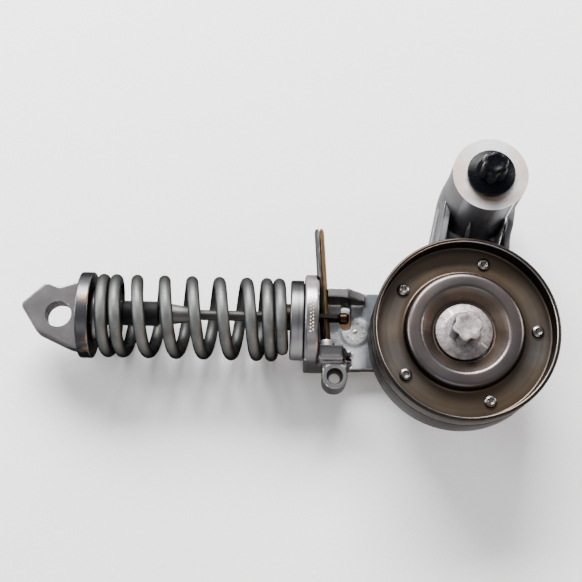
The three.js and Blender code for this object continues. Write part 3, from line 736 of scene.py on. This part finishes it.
MATERIALS = {
    "cast": cast_aluminium(),
    "forged": forged_aluminium(),
    "rough": rough_casting(),
    "pulley": pulley_steel(),
    "rivet": plain_metal("rivet_steel", (0.15, 0.135, 0.125), (0.24, 0.22, 0.205), (0.24, 0.34),
                         painted_edge_highlight=(0.5, 0.48, 0.46)),
    "bearing": plain_metal("bearing_steel", (0.5, 0.51, 0.52), (0.62, 0.63, 0.64), (0.12, 0.2)),
    "zinc": zinc_flake(),
    "black": black_finish(),
    "spring": spring_coat(),
    "sleeve": turned_metal("sleeve_steel", (0, 0, 0), "XY", (0.42, 0.42, 0.42),
                           (0.58, 0.58, 0.575), (0.22, 0.32)),
    "bronze": plain_metal("bush_bronze", (0.20, 0.13, 0.07), (0.3, 0.21, 0.11), (0.3, 0.42)),
    "cup": turned_metal("seat_aluminium", STRUT, "YZ", (0.085, 0.084, 0.087),
                        (0.27, 0.268, 0.27), (0.34, 0.44), side=0.7, lit=0.5),
    "dark_bronze": plain_metal("oiled_bronze", (0.030, 0.023, 0.017), (0.060, 0.044, 0.030),
                               (0.4, 0.5)),
    "rod": rod_steel(),
    "button": plain_metal("button_steel", (0.013, 0.008, 0.005), (0.030, 0.018, 0.011),
                          (0.3, 0.42)),
    "collar": plain_metal("collar_zinc", (0.85, 0.82, 0.79), (0.95, 0.93, 0.91), (0.42, 0.55),
                          side=0.85),
    # painted glints: the pips are coloured bright and warm, unlike the casting they stand on
    "pip": plain_metal("pip_painted_glint", (0.58, 0.42, 0.27), (0.85, 0.70, 0.52), (0.26, 0.36)),
    "bump": rubber("bump_rubber", (0.006, 0.006, 0.007)),
    "seal": rubber("seal_rubber", (0.035, 0.028, 0.024)),
    "pin": pin_painted_reflections(),
    "painted_reflection": warm_painted_reflection(),
}


def dress(obj, look, slot, body, *nodes):
    """Give a piece its material, the body it rides on, and hide the nodes it stands for; slot is
    not used.
    """
    obj.data.materials.clear()
    obj.data.materials.append(MATERIALS[look])
    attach(obj, body)
    if nodes:
        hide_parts(*nodes)
    return obj


# ------------ pulley

def make_pulley():
    front = lathe("pulley_front", [
        (33.3, HALF_WIDTH, 0.8), (33.3, 5.0, 0.9), (22.5, 5.0, 1.2), (22.2, 9.8, 2.2),
        (16.6, 9.8, 2.0), (11.9, 4.4, 0.9), (11.15, 4.4, 0.2), (11.15, 3.0, 0.4),
        (13.2, 3.0, 1.2), (17.4, 8.0, 1.2), (20.6, 8.0, 1.2), (20.6, 3.2, 1.4),
        (RIM, 3.2, 1.2), (RIM, HALF_WIDTH, 0.85),
    ], PULLEY, segments=192)
    dress(front, "pulley", "pulley_steel", "pulley", "pulley_front_half")
    rear = lathe("pulley_rear", [
        (20.3, 2.9, 0.3), (20.3, -9.8, 0), (18.7, -9.8, 0), (18.7, -11.2, 0.5),
        (22.1, -11.2, 1.0), (22.1, 1.1, 1.2), (33.2, 1.1, 1.6), (33.2, -HALF_WIDTH, 0.6),
        (RIM, -HALF_WIDTH, 0.6), (RIM, 2.9, 1.2),
    ], PULLEY, segments=192)
    dress(rear, "pulley", "pulley_steel", "pulley", "pulley_rear_half")
    for index in range(1, 6):
        node = f"pulley_rivet_{index}"
        at = middle(node)
        at.z = PULLEY.z
        rivet = lathe(f"rivet_{index}", [
            (0, 0.1, 0), (2.4, 0.1, 0.3), (2.6, 0.8, 0.2), (1.75, 0.8, 0), (1.75, 5.05, 0),
            (2.45, 5.05, 0.2), (2.3, 5.9, 0.6), (1.25, 6.55, 0.5), (0.85, 6.0, 0.3), (0, 5.95, 0),
        ], at, segments=48)
        dress(rivet, "rivet", "rivet_steel", "pulley", node)


# ------------ bolts

def lobed_ring(radius, height, depth, count):
    """Six-lobe drive outline: broad rounded lobes with narrow valleys."""
    ring = []
    for k in range(count):
        angle = 2 * math.pi * k / count
        wave = 1 - abs(math.cos(3 * angle)) ** 1.4
        r = radius * (1 - 2 * depth * wave)
        ring.append((r * math.cos(angle), r * math.sin(angle), height))
    return ring


def lobed_head(name, radius, low, high, origin, turn, taper=0.0):
    """Six-lobe head with a chamfered, slightly dished top; taper (mm) rounds it over."""
    levels = [(1.0, low, 0.085), (1.0, high - 0.9 - taper, 0.085),
              (0.97 - 0.08 * taper, high - 0.45, 0.08), (0.90 - 0.12 * taper, high - 0.08, 0.07),
              (0.82 - 0.14 * taper, high, 0.06), (0.60 - 0.1 * taper, high - 0.12, 0.03),
              (0.36, high - 0.35, 0.0), (0.15, high - 0.4, 0.0)]
    count = 96
    points = []
    spin = Matrix.Rotation(turn, 3, "Z")
    for scale, height, depth in levels:
        for p in lobed_ring(radius * scale, height, depth, count):
            points.append(origin + spin @ Vector(p))
    return loft(name, points, count, 40)


def thread(name, radius, pitch, low, high, origin):
    """Helical V thread with a chamfered tip, closed at both ends."""
    around, per_pitch = 64, 8
    rows = int((high - low) / pitch * per_pitch)
    points = []
    depth = 0.55 * pitch
    for i in range(rows + 1):
        height = low + (high - low) * i / rows
        for k in range(around):
            phase = (height / pitch - k / around) % 1
            groove = depth * (1 - abs(2 * phase - 1))
            tip = max(0.0, 1.0 - (height - low)) * 0.9
            r = radius - max(groove, tip)
            points.append(origin + on_axis("Z", r, height, 2 * math.pi * k / around))
    return loft(name, points, around, 60)


def make_bolts():
    grip = 32.5                       # from the bolt's tip to the underside of its flange
    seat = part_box("pulley_bolt")[0].z / MM - PULLEY.z + grip
    flange = lathe("pulley_bolt_flange", [
        (0, seat - 0.2, 0), (10.9, seat, 0.3), (10.9, seat + 1.0, 0.5), (7.4, seat + 2.0, 0.5),
        (0, seat + 2.0, 0),
    ], PULLEY)
    head = lobed_head("head", 5.9, seat + 1.8, 14.6, PULLEY, math.radians(12))
    shank = cylinder(4.9, -28, seat, origin=PULLEY, segments=64)
    bolt = merge("pulley_bolt_detail", [flange, head, shank])
    dress(bolt, "zinc", "zinc_plate", "arm", "pulley_bolt")

    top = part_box("pivot_bolt")[1].z / MM
    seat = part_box("pivot_sleeve")[1].z / MM + 0.3
    flange = lathe("flange", [
        (0, seat, 0), (9.1, seat, 0.3), (9.1, seat + 1.1, 0.6), (5.9, seat + 2.3, 0.8),
        (0, seat + 2.3, 0),
    ])
    head = lobed_head("head", 5.2, seat + 2.0, top, ORIGIN, math.radians(20), taper=1.0)
    shank = cylinder(3.9, 0.5, seat, segments=64)
    tip = thread("thread", 4.0, 1.25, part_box("pivot_bolt")[0].z / MM, 1.0, ORIGIN)
    bolt = merge("pivot_bolt_detail", [flange, head, shank, tip])
    dress(bolt, "black", "black_bolt", "pivot_mount", "pivot_bolt")


# ------------ arm

def belt_outline(a, b, radius_a, radius_b, steps=40):
    """Outline of a belt round two circles."""
    a, b = Vector(a), Vector(b)
    heading = math.atan2(b.y - a.y, b.x - a.x)
    lean = math.acos((radius_a - radius_b) / (b - a).length)
    points = []
    for centre, radius, start, sweep in (
            (a, radius_a, heading + lean, 2 * (math.pi - lean)),
            (b, radius_b, heading - lean, 2 * lean)):
        for i in range(steps + 1):
            angle = start + sweep * i / steps
            points.append(centre + radius * Vector((math.cos(angle), math.sin(angle))))
    return points


def channel_wall(inner, outer, drop, crest=(-14, 30), nose=(-21.5, 13)):
    """Arm wall whose front edge falls from its crest (y, z) beside the boss to its nose."""
    low = crest[1] - drop
    corners = [(inner, -1, crest[1]), (inner, *crest), (inner, *nose), (outer, -1, low),
               (outer, max(crest[0], -10), low), (outer, nose[0], nose[1] - drop * 0.4)]
    corners += [(x, y, 4) for x in (inner, outer) for y in (-1, -21.5)]
    turn = Matrix.Rotation(ARM_LEAN, 3, "Z")
    bm = bmesh.new()
    for corner in corners:
        bm.verts.new((turn @ Vector(corner)) * MM)
    bmesh.ops.convex_hull(bm, input=bm.verts)
    mesh = bpy.data.meshes.new("wall")
    bm.to_mesh(mesh)
    bm.free()
    obj = add_object("wall", mesh)
    edge = obj.modifiers.new("edge", "BEVEL")
    edge.width = 0.4 * MM
    edge.segments = 3
    apply_modifiers(obj)
    return obj


def make_arm():
    pivot, hub = (0, 0), (PULLEY.x, PULLEY.y)
    plate = prism("plate", belt_outline(pivot, hub, BOSS_SIDE, 18.0), 3.0, 12.2)
    boss = lathe("boss", [(0, 2, 0), (14.3, 2, 1.0), (14.3, BOSS_FACE + 2, 0),
                          (0, BOSS_FACE + 2, 0)])
    skirt = lathe("skirt", [(0, 3.5, 0), (BOSS_SIDE, 3.5, 1), (BOSS_SIDE, 12.2, 0), (14.5, 24, 6),
                            (14, 30, 0), (0, 30, 0)])
    hub_post = lathe("hub", [
        (0, -20, 0), (18.0, -20, 0.8), (18.0, -13.8, 0.8), (11.8, -13.8, 0.5), (11.8, -9.8, 0),
        (0, -9.8, 0)], PULLEY)
    pockets = [
        prism("pocket", rounded([(-11.6, -15.2, 3), (-3.7, -16.6, 2), (-6.9, -44, 2),
                                 (-17.5, -44, 3)]), 7.0, 16),
        prism("pocket", rounded([(-1.6, -16.6, 2), (8.6, -13.6, 3), (3.0, -42, 3),
                                 (-4.8, -44, 2)]), 7.0, 16),
    ]
    rib = prism("rib", [(-3.7, -12), (-1.6, -12), (-4.8, -46), (-6.9, -46)], 5, 11.2)
    shallow = {"crest": (-8, 25), "nose": (-21.5, 20.5)}
    walls = [channel_wall(-10.8, -13.6, 0.8, **shallow), channel_wall(-13.2, -14.5, 8, **shallow),
             channel_wall(9.8, 10.9, 0.4), channel_wall(10.6, 14.4, 7),
             channel_wall(-3.3, -1.9, 0)]
    arm = cast("arm_casting", [plate, boss, skirt, hub_post, rib], pockets, [
        box_solid((-20, -20, BOSS_FACE), (20, 20, 60)),
        cylinder(8.9, 0, 50),
    ])
    journal = lathe("journal", [
        (0, -34.9, 0), (11, -34.9, 0.5), (11, -33.9, 0), (9.8, -33.9, 0), (9.8, -32.4, 0),
        (11, -32.4, 0.1), (11, -19.5, 0), (0, -19.5, 0)], PULLEY)
    post = lathe("post", [(5.3, -10, 0), (8.2, -10, 0), (8.2, 2.2, 0.4), (5.3, 2.2, 0.3)], PULLEY)
    arm = merge("arm_casting", [arm, journal, post, *walls])
    dress(arm, "cast", "cast_aluminium", "arm", "tensioner_arm")

    for place in ("rear", "front"):
        node = f"pivot_bush_{place}"
        low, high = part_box(node)
        bush = tube(f"bush_{place}", 6.58, 8.6, low.z / MM, high.z / MM)
        dress(bush, "bronze", "bush_bronze", "arm", node)
    sleeve = tube("sleeve", 4.6, 6.5, 0, 46.6, fillets=(0.3, 0.4))
    dress(sleeve, "sleeve", "sleeve_steel", "pivot_mount", "pivot_sleeve")
    washer = tube("washer", 5.4, 10.4, 2.8, 4.2, PULLEY, (0.2, 0.3))
    dress(washer, "zinc", "zinc_plate", "arm", "pulley_washer")
    inner = tube("inner_ring", 8.5, 12, -9.5, 2.5, PULLEY, (0.6, 0.3))
    dress(inner, "bearing", "bearing_steel", "arm", "bearing_inner_ring")
    outer = tube("outer_ring", 16, 20, -9.5, 2.5, PULLEY, (0.3, 0.7))
    dress(outer, "bearing", "bearing_steel", "pulley", "bearing_outer_ring")
    for place, low in (("front", 1.5), ("rear", -9.2)):
        seal = tube(f"seal_{place}", 12.3, 15.7, low, low + 0.7, PULLEY)
        dress(seal, "seal", "seal_rubber", "pulley", f"bearing_seal_{place}")
    make_circlip()


def make_circlip():
    """External circlip: a C-shaped ring with a drilled lug each side of its gap."""
    gap = math.radians(8)
    steps = 120
    outer, inner = [], []
    for k in range(steps + 1):
        angle = -math.pi / 2 + gap + 2 * (math.pi - gap) * k / steps
        from_end = min(k, steps - k) * 2 * math.degrees(math.pi - gap) / steps
        lug = 1.5 * math.sqrt(max(0.0, 1 - (from_end / 15) ** 2))
        way = Vector((math.cos(angle), math.sin(angle)))
        outer.append((12.6 + lug) * way)
        inner.append(10.2 * way)
    clip = prism("circlip", outer + inner[::-1], -33.6, -32.7, origin=PULLEY)
    holes = [cylinder(0.7, -35, -31, (side * 2.9, -11.9), origin=PULLEY, segments=32)
             for side in (-1, 1)]
    clip = cut(clip, holes)
    clip.name = "circlip"
    dress(clip, "spring", "spring_steel", "arm", "strut_circlip")


# ------------ strut housing

def stand(obj, at, way):
    """Turn a solid made about Z to point along way, with its z = 0 at a place on the strut."""
    turn = FRONT.rotation_difference(way).to_matrix().to_4x4()
    obj.data.transform(Matrix.Translation((STRUT + at) * MM) @ turn)
    return obj


def along_pin(obj):
    return stand(obj, PIN_FOOT, (PIN_TOP - PIN_FOOT).normalized())


def strut_prism(outline, low, high, axis="Z"):
    return prism("solid", outline, low, high, axis, STRUT)


def make_housing():
    flange = lathe("flange", [(0, -63.2, 0), (14.2, -63.2, 0.3), (14.2, -60, 0),
                              (18.2, -60, 0.9), (18.2, -54.4, 0.9), (0, -54.4, 0)], STRUT, "X")
    floor = strut_prism(rounded([
        (-56, 12.8, 0), (-42, 14.4, 4), (-30, 14.6, 4), (-12, 9, 6), (0, HUB_Y, 0),
        (-10, -24.5, 4), (-18, -19.8, 6), (-31.5, -16.9, 5), (-41, -17.2, 3), (-56, -15, 0)]),
        -16, -10)
    head = lathe("head", [(0, -15.8, 0), (19.5, -15.8, 0.8), (19.5, -8, 0.8), (0, -8, 0)],
                 STRUT_HEAD)
    wall = strut_prism([(-56, -11), (-35.5, -11), (-35.5, -6), (-42.7, 2), (-56, 2)], -13.4, -9.4)
    to_strut = Matrix.Translation(STRUT * MM)
    wall.data.transform(to_strut @ ON_EDGE @ to_strut.inverted())
    low_block = strut_prism(rounded([
        (-8.6, -14, 0), (-8.6, 7.2, 1.2), (-11.5, 8, 2.5), (-16.6, 6, 4), (-18.4, 0, 3),
        (-18.4, -14, 0)]), -60, -44.6, "X")
    toe = strut_prism(rounded([(-46, -9.4, 0), (-44.2, -9.8, 1), (-41, -17, 1), (-42, -18.4, 1),
                               (-50, -18.4, 0)]), -14, 3)
    ear = merge("ear", [
        cylinder(5.0, -10, 4, EAR, origin=STRUT),
        box_solid((EAR.x - 4.9, EAR.y, -9.6), (EAR.x + 4.9, -16, 3.6), STRUT)])
    pad = lathe("pad", [(0, -11, 0), (5.5, -11, 0), (5.5, -9.5, 0.3), (0, -9.5, 0)],
                STRUT + PAD)
    lip = box_solid((-43.2, -12.4, -11), (-40.8, -10.6, -4.5), STRUT)
    solids = [flange, floor, head, wall, low_block, toe, ear, pad, lip]
    pockets = [
        strut_prism(rounded([(-44.0, -16.4, 0.8), (-40.6, -16.4, 0.8), (-40.6, -12.8, 0.8),
                             (-42.8, -12.8, 0.8)]), -14, 4),
        strut_prism(rounded([(-44.9, -1.1, 1.5), (-41.2, -1.1, 1.5), (-41.2, 9.7, 1.2),
                             (-44.9, 9.7, 1.2)]), -20, -8.8),
    ]
    machining = [
        cylinder(13.6, -30, 10, (0, HUB_Y), origin=STRUT),
        cylinder(5.6, -70, -50, (ROD_Y, 0), "X", STRUT),
        along_pin(cylinder(2.35, -6, 60, segments=48)),
        along_pin(cylinder(3.55, -4.3, 6, segments=48)),
        box_solid((-55.6, 6, 0), (-50.6, 16, 12), STRUT),
        box_solid((-54.4, -11.4, -0.6), (-43, -6, 12), STRUT),
        lathe("ear_hole", [(0, -13, 0), (4.0, -13, 0), (4.0, -2.6, 0.8), (2.15, -2.6, 0.2),
                           (2.7, 2.6, 0), (3.3, 4.1, 0), (3.3, 6, 0), (0, 6, 0)],
              STRUT + EAR, segments=64),
    ]
    housing = cast("housing_casting", solids, pockets, machining, voxel=0.40 * MM)
    dress(housing, "rough", "rough_casting", "housing", "strut_housing")
    make_pips()

    cup = lathe("seat_cup", [
        (9, -65.6, 0.4), (15.85, -65.6, 1.0), (15.85, -60.3, 0.3), (14.55, -60.3, 0.2),
        (14.55, -63.5, 0.3), (9, -63.5, 0.2)], STRUT, "X")
    dress(cup, "cup", "seat_aluminium", "housing", "spring_seat_cup")
    guide = lathe("guide_bush", [(2.55, -69, 0.3), (5.3, -69, 0.5), (5.3, -62, 0.3),
                                 (2.55, -62, 0.3)], ROD_LINE, "X")
    dress(guide, "dark_bronze", "bush_bronze", "housing", "rod_guide_bush")
    bush = tube("head_bush", 11.08, 13.3, -15.5, -8.4, STRUT_HEAD, (0.3, 0.3))
    dress(bush, "bronze", "bush_bronze", "housing", "strut_head_bush")
    collar = along_pin(lathe("pin_collar", [(2.1, -3.9, 0.1), (2.75, -3.9, 0.3),
                                            (2.75, -0.6, 0.4), (2.1, -0.6, 0.3)], segments=72))
    dress(collar, "collar", "zinc_plate", "housing", "lock_pin_collar")
    make_window_painted_reflection()


def make_pips():
    """Plain raised pips: a row over the flange, and a ring with a centre on the round pad."""
    flange_side, pad_top = 18.1, Vector((0, 0, -9.55))
    pips = []
    for index in range(13):
        angle = math.radians(-26 + 4.4 * index)
        for side in (-0.5, 0.5):
            lift = flange_side * math.sin(angle + math.radians(1.6 * side))
            at = Vector((-57.2 + side, lift, math.sqrt(flange_side ** 2 - lift ** 2)))
            pips.append((at, 0.36, Vector((0, math.sin(angle), math.cos(angle)))))
    for index in range(10):
        angle = 2 * math.pi * index / 10
        at = PAD + pad_top + 3.6 * Vector((math.cos(angle), math.sin(angle), 0))
        if at.x > -41.0 or at.y < -2:
            pips.append((at, 0.5, FRONT))
    pips.append((PAD + pad_top, 0.9, FRONT))
    pieces = []
    for at, radius, way in pips:
        dome = lathe("pip", [(0, -0.3, 0), (radius, -0.3, 0), (radius, 0.1, 0.15),
                             (radius * 0.5, 0.24, 0.1), (0, 0.26, 0)], segments=20, steps=3)
        pieces.append(stand(dome, at, way))
    pip_group = merge("casting_pips", pieces)
    dress(pip_group, "pip", "rough_casting", "housing")


def make_window_painted_reflection():
    """Copper-warm plate across the lower part of the window, behind the rod's button, as a painted
    reflection.
    """
    plate = strut_prism(rounded([(-45.6, -1.8, 1.6), (-40.6, -1.8, 1.6), (-40.6, 4.2, 0.8),
                                 (-45.6, 4.2, 0.8)]), -11.4, -10.3)
    plate.name = "window_painted_reflection"
    dress(plate, "painted_reflection", "seat_aluminium", "housing")


# ------------ strut rod

def make_rod():
    plate = strut_prism(rounded([
        (-172.0, 2.8, 1.8), (-162.2, 12.3, 2.2), (-157, 10.2, 3.5), (-148.6, 13.2, 2),
        (-144, 13.2, 0), (-144, -15.8, 0), (-152.1, -13.8, 8), (-164.6, -8.2, 3)]), -4, 4)
    seat = lathe("seat", [
        (0, SEAT_LEFT - 5, 0), (17.05, SEAT_LEFT - 5, 0.5), (17.05, SEAT_LEFT, 0.5),
        (10.4, SEAT_LEFT, 1.0), (9.6, SEAT_LEFT + 4, 0.8), (0, SEAT_LEFT + 4, 0)], STRUT, "X")
    eye = cast("eye_casting", [plate, seat], (), [
        cylinder(5.2, -6, 6, EYE, origin=STRUT),
        cylinder(3, SEAT_LEFT + 3.5, SEAT_LEFT + 8, (ROD_Y, 0), "X", STRUT),
    ], voxel=0.36 * MM, soften=3)
    dress(eye, "forged", "cast_aluminium", "rod", "strut_eye_end")

    left = SEAT_LEFT + 4.3
    stop = lathe("stop", [
        (2.3, left, 0.2), (4.95, left, 0.8), (4.95, left + 6, 0.3), (4.6, left + 6.8, 0.5),
        (4.95, left + 7.6, 0.3), (4.95, left + 13.5, 0.3), (4.6, left + 14.3, 0.5),
        (4.95, left + 15.1, 0.3), (4.95, -117.4, 0.9), (2.3, -117.4, 0.3)], ROD_LINE, "X", 96)
    dress(stop, "bump", "bump_rubber", "rod", "bump_stop")
    collar = lathe("collar", [(2.3, -117.1, 0.1), (4.3, -117.1, 0.5), (4.3, -114, 1.5),
                              (2.7, -103.4, 0.3), (2.3, -103.4, 0.1)], ROD_LINE,
                   "X", 96)
    dress(collar, "rod", "rod_steel", "rod", "rod_collar")
    shank = lathe("shank", [(0, left, 0), (2.05, left, 0), (2.05, -60.5, 0), (0, -60.5, 0)],
                  ROD_LINE, "X", 64)
    pin_x = PIN_FOOT.x + PIN_SLOPE * (ROD_Y - PIN_FOOT.y)
    tongue = prism("tongue", rounded([(-61.5, -3.9, 1.2), (-46, -3.9, 1.4), (-46, 3.9, 1.4),
                                      (-61.5, 3.9, 1.2)]), -0.8, 0.8)
    slot = prism("slot", rounded([(-60.4, -2.25, 2.2), (pin_x + 2.35, -2.25, 2.2),
                                  (pin_x + 2.35, 2.25, 2.2), (-60.4, 2.25, 2.2)]), -3, 3)
    tongue = cut(tongue, [slot])
    tongue.data.transform(Matrix.Translation(ROD_LINE * MM) @ ON_EDGE)
    rod = merge("rod_bar", [shank, tongue])
    dress(rod, "rod", "rod_steel", "rod", "strut_rod")
    button = lathe("rod_button", [(0, -46.4, 0), (1.6, -46.4, 0.3), (2.3, -45.7, 0.5),
                                  (2.3, -43.2, 0.7), (1.5, -42.3, 0.6), (0, -42.3, 0)],
                   ROD_LINE, "X", 72)
    dress(button, "button", "rod_steel", "rod")


# ------------ spring and pin

WIRE = 2.42
COIL = 14.15
FIRST_TURN, LAST_TURN = -0.15, 8.45
CLOSED, OPEN = 4.95, 10.87        # pitch of the end turns, and of the open ones


def pitch_at(turn):
    """Closed at both ends, open between, with straight ramps."""
    opening = min((turn - 0.9) / 1.2, (7.1 - turn) / 1.1, 1)
    return CLOSED + (OPEN - CLOSED) * max(opening, 0)


def make_spring():
    steps, around = 760, 22
    turn_step = (LAST_TURN - FIRST_TURN) / steps
    stations = [0.0]
    for i in range(steps):
        stations.append(stations[-1] + pitch_at(FIRST_TURN + (i + 0.5) * turn_step) * turn_step)
    room = SEAT_RIGHT - SEAT_LEFT - 2 * WIRE - 0.3
    shrink = room / stations[-1]
    centres = []
    for i, station in enumerate(stations):
        angle = 2 * math.pi * (FIRST_TURN + i * turn_step)
        centres.append(STRUT + Vector((SEAT_LEFT + WIRE + 0.15 + station * shrink,
                                       COIL * math.cos(angle), COIL * math.sin(angle))))
    points = []
    for i, centre in enumerate(centres):
        way = (centres[min(i + 1, steps)] - centres[max(i - 1, 0)]).normalized()
        outward = Vector((0, centre.y - STRUT.y, centre.z - STRUT.z)).normalized()
        outward = (outward - way * outward.dot(way)).normalized()
        sideways = way.cross(outward)
        end = min(i, steps - i)
        radius = WIRE * (1 if end > 2 else (0.86, 0.95, 0.99)[end])
        for k in range(around):
            angle = 2 * math.pi * k / around
            points.append(centre + radius * (math.cos(angle) * outward
                                             + math.sin(angle) * sideways))
    spring = loft("coil_spring", points, around, 50)
    dress(spring, "spring", "spring_steel", "housing", "strut_spring")
    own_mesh(spring)


def make_pin():
    """Rolled spring pin: a C-shaped wall with its slit to +Z and chamfered ends."""
    around = 40
    gap = math.radians(9)
    length = (PIN_TOP - PIN_FOOT).length
    bottom = -3.2
    rows = [(bottom, 1.62, 1.12), (bottom + 1.1, 1.95, 1.05), (length - 1.1, 1.95, 1.05),
            (length, 1.62, 1.12)]
    points = []
    for height, outer, inner in rows:
        loop = []
        for k in range(around + 1):
            angle = math.pi / 2 + gap + (2 * math.pi - 2 * gap) * k / around
            loop.append((outer * math.cos(angle), outer * math.sin(angle), height))
        for k in range(around, -1, -1):
            angle = math.pi / 2 + gap + (2 * math.pi - 2 * gap) * k / around
            loop.append((inner * math.cos(angle), inner * math.sin(angle), height))
        points += loop
    size = 2 * (around + 1)
    faces = side_faces(len(rows), size)
    for k in range(around):
        for base in (0, (len(rows) - 1) * size):
            faces.append([base + k, base + k + 1, base + size - 2 - k, base + size - 1 - k])
    pin = new_object("slotted_pin", points, faces, 40)
    way = (PIN_TOP - PIN_FOOT).normalized()
    turn = Matrix((FRONT.cross(way), FRONT, way)).transposed().to_4x4()
    pin.data.transform(Matrix.Translation((STRUT + PIN_FOOT) * MM) @ turn)
    finish_mesh(pin.data, 40)
    dress(pin, "pin", "pin_steel", "pin", "lock_pin")


# ------------ hidden bearing pieces

def dress_bearing():
    for node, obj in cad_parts.items():
        if node == "bearing_cage" or node.startswith("bearing_ball"):
            obj.data.materials.clear()
            obj.data.materials.append(MATERIALS["bearing"])


# ------------ stage, light and camera

CAMERA_AT = Vector((-74.2, -156.5, 433))      # mm
CAMERA_TILT = math.radians(15.69)
CAMERA_ROLL = math.radians(1.56)
CAMERA_LENS = 68.04
LIGHT_AIM = Vector((-0.08, -0.04, 0.0))       # metres, like the lamps' places


def make_camera():
    forward = Vector((0, math.sin(CAMERA_TILT), -math.cos(CAMERA_TILT)))
    right = Vector((math.cos(CAMERA_ROLL), math.sin(CAMERA_ROLL), 0))
    right = (right - forward * right.dot(forward)).normalized()
    up = right.cross(forward)
    data = bpy.data.cameras.new("camera")
    data.lens = CAMERA_LENS
    data.sensor_width = 36
    data.clip_start = 0.01
    camera = add_object("camera", data)
    turn = Matrix((right, up, -forward)).transposed().to_4x4()
    camera.matrix_world = Matrix.Translation(CAMERA_AT * MM) @ turn
    bpy.context.scene.camera = camera


def soft_light(name, at, size, power, color):
    """Rectangular lamp aimed at the middle of the part."""
    data = bpy.data.lights.new(name, "AREA")
    data.shape = "RECTANGLE"
    data.size, data.size_y = size
    data.energy = power
    data.color = color
    light = add_object(name, data)
    light.location = at
    light.rotation_euler = (LIGHT_AIM - Vector(at)).to_track_quat("-Z", "Y").to_euler()


def make_stage():
    low = cad_bounds[0][2] / MM
    floor = prism("floor", [(-2500, -2500), (2500, -2500), (2500, 2500), (-2500, 2500)],
                  low - 3, low - 0.05)
    n = Nodes("floor_paper")
    tone = n.mix(n.ramp(n.noise(0.004, 2)), (0.90, 0.90, 0.90), (0.93, 0.93, 0.93))
    floor.data.materials.append(n.done(tone, 0.8, 0.0, 0.2))

    world = bpy.data.worlds.new("room")
    world.use_nodes = True
    sky = world.node_tree.nodes["Background"]
    sky.inputs["Color"].default_value = (0.90, 0.93, 1.0, 1)
    sky.inputs["Strength"].default_value = 0.34
    bpy.context.scene.world = world
    soft_light("key", (-0.25, 0.85, 0.70), (0.9, 0.45), 54, (1, 0.995, 0.985))
    soft_light("left", (-1.0, 0.15, 0.40), (0.5, 0.4), 10, (0.97, 0.98, 1))
    soft_light("right", (0.95, 0.3, 0.35), (0.4, 0.4), 9, (1, 0.97, 0.94))
    soft_light("fill", (-0.15, -0.9, 0.75), (0.8, 0.5), 2.2, (0.95, 0.97, 1))
    soft_light("low", (0.05, -0.95, 0.14), (0.5, 0.16), 1.2, (0.97, 0.98, 1))
    soft_light("warm", (0.5, -0.8, 0.18), (0.6, 0.15), 3, (1, 0.62, 0.34))


make_camera()
make_stage()
make_pulley()
make_bolts()
make_arm()
make_housing()
make_rod()
make_spring()
make_pin()
dress_bearing()
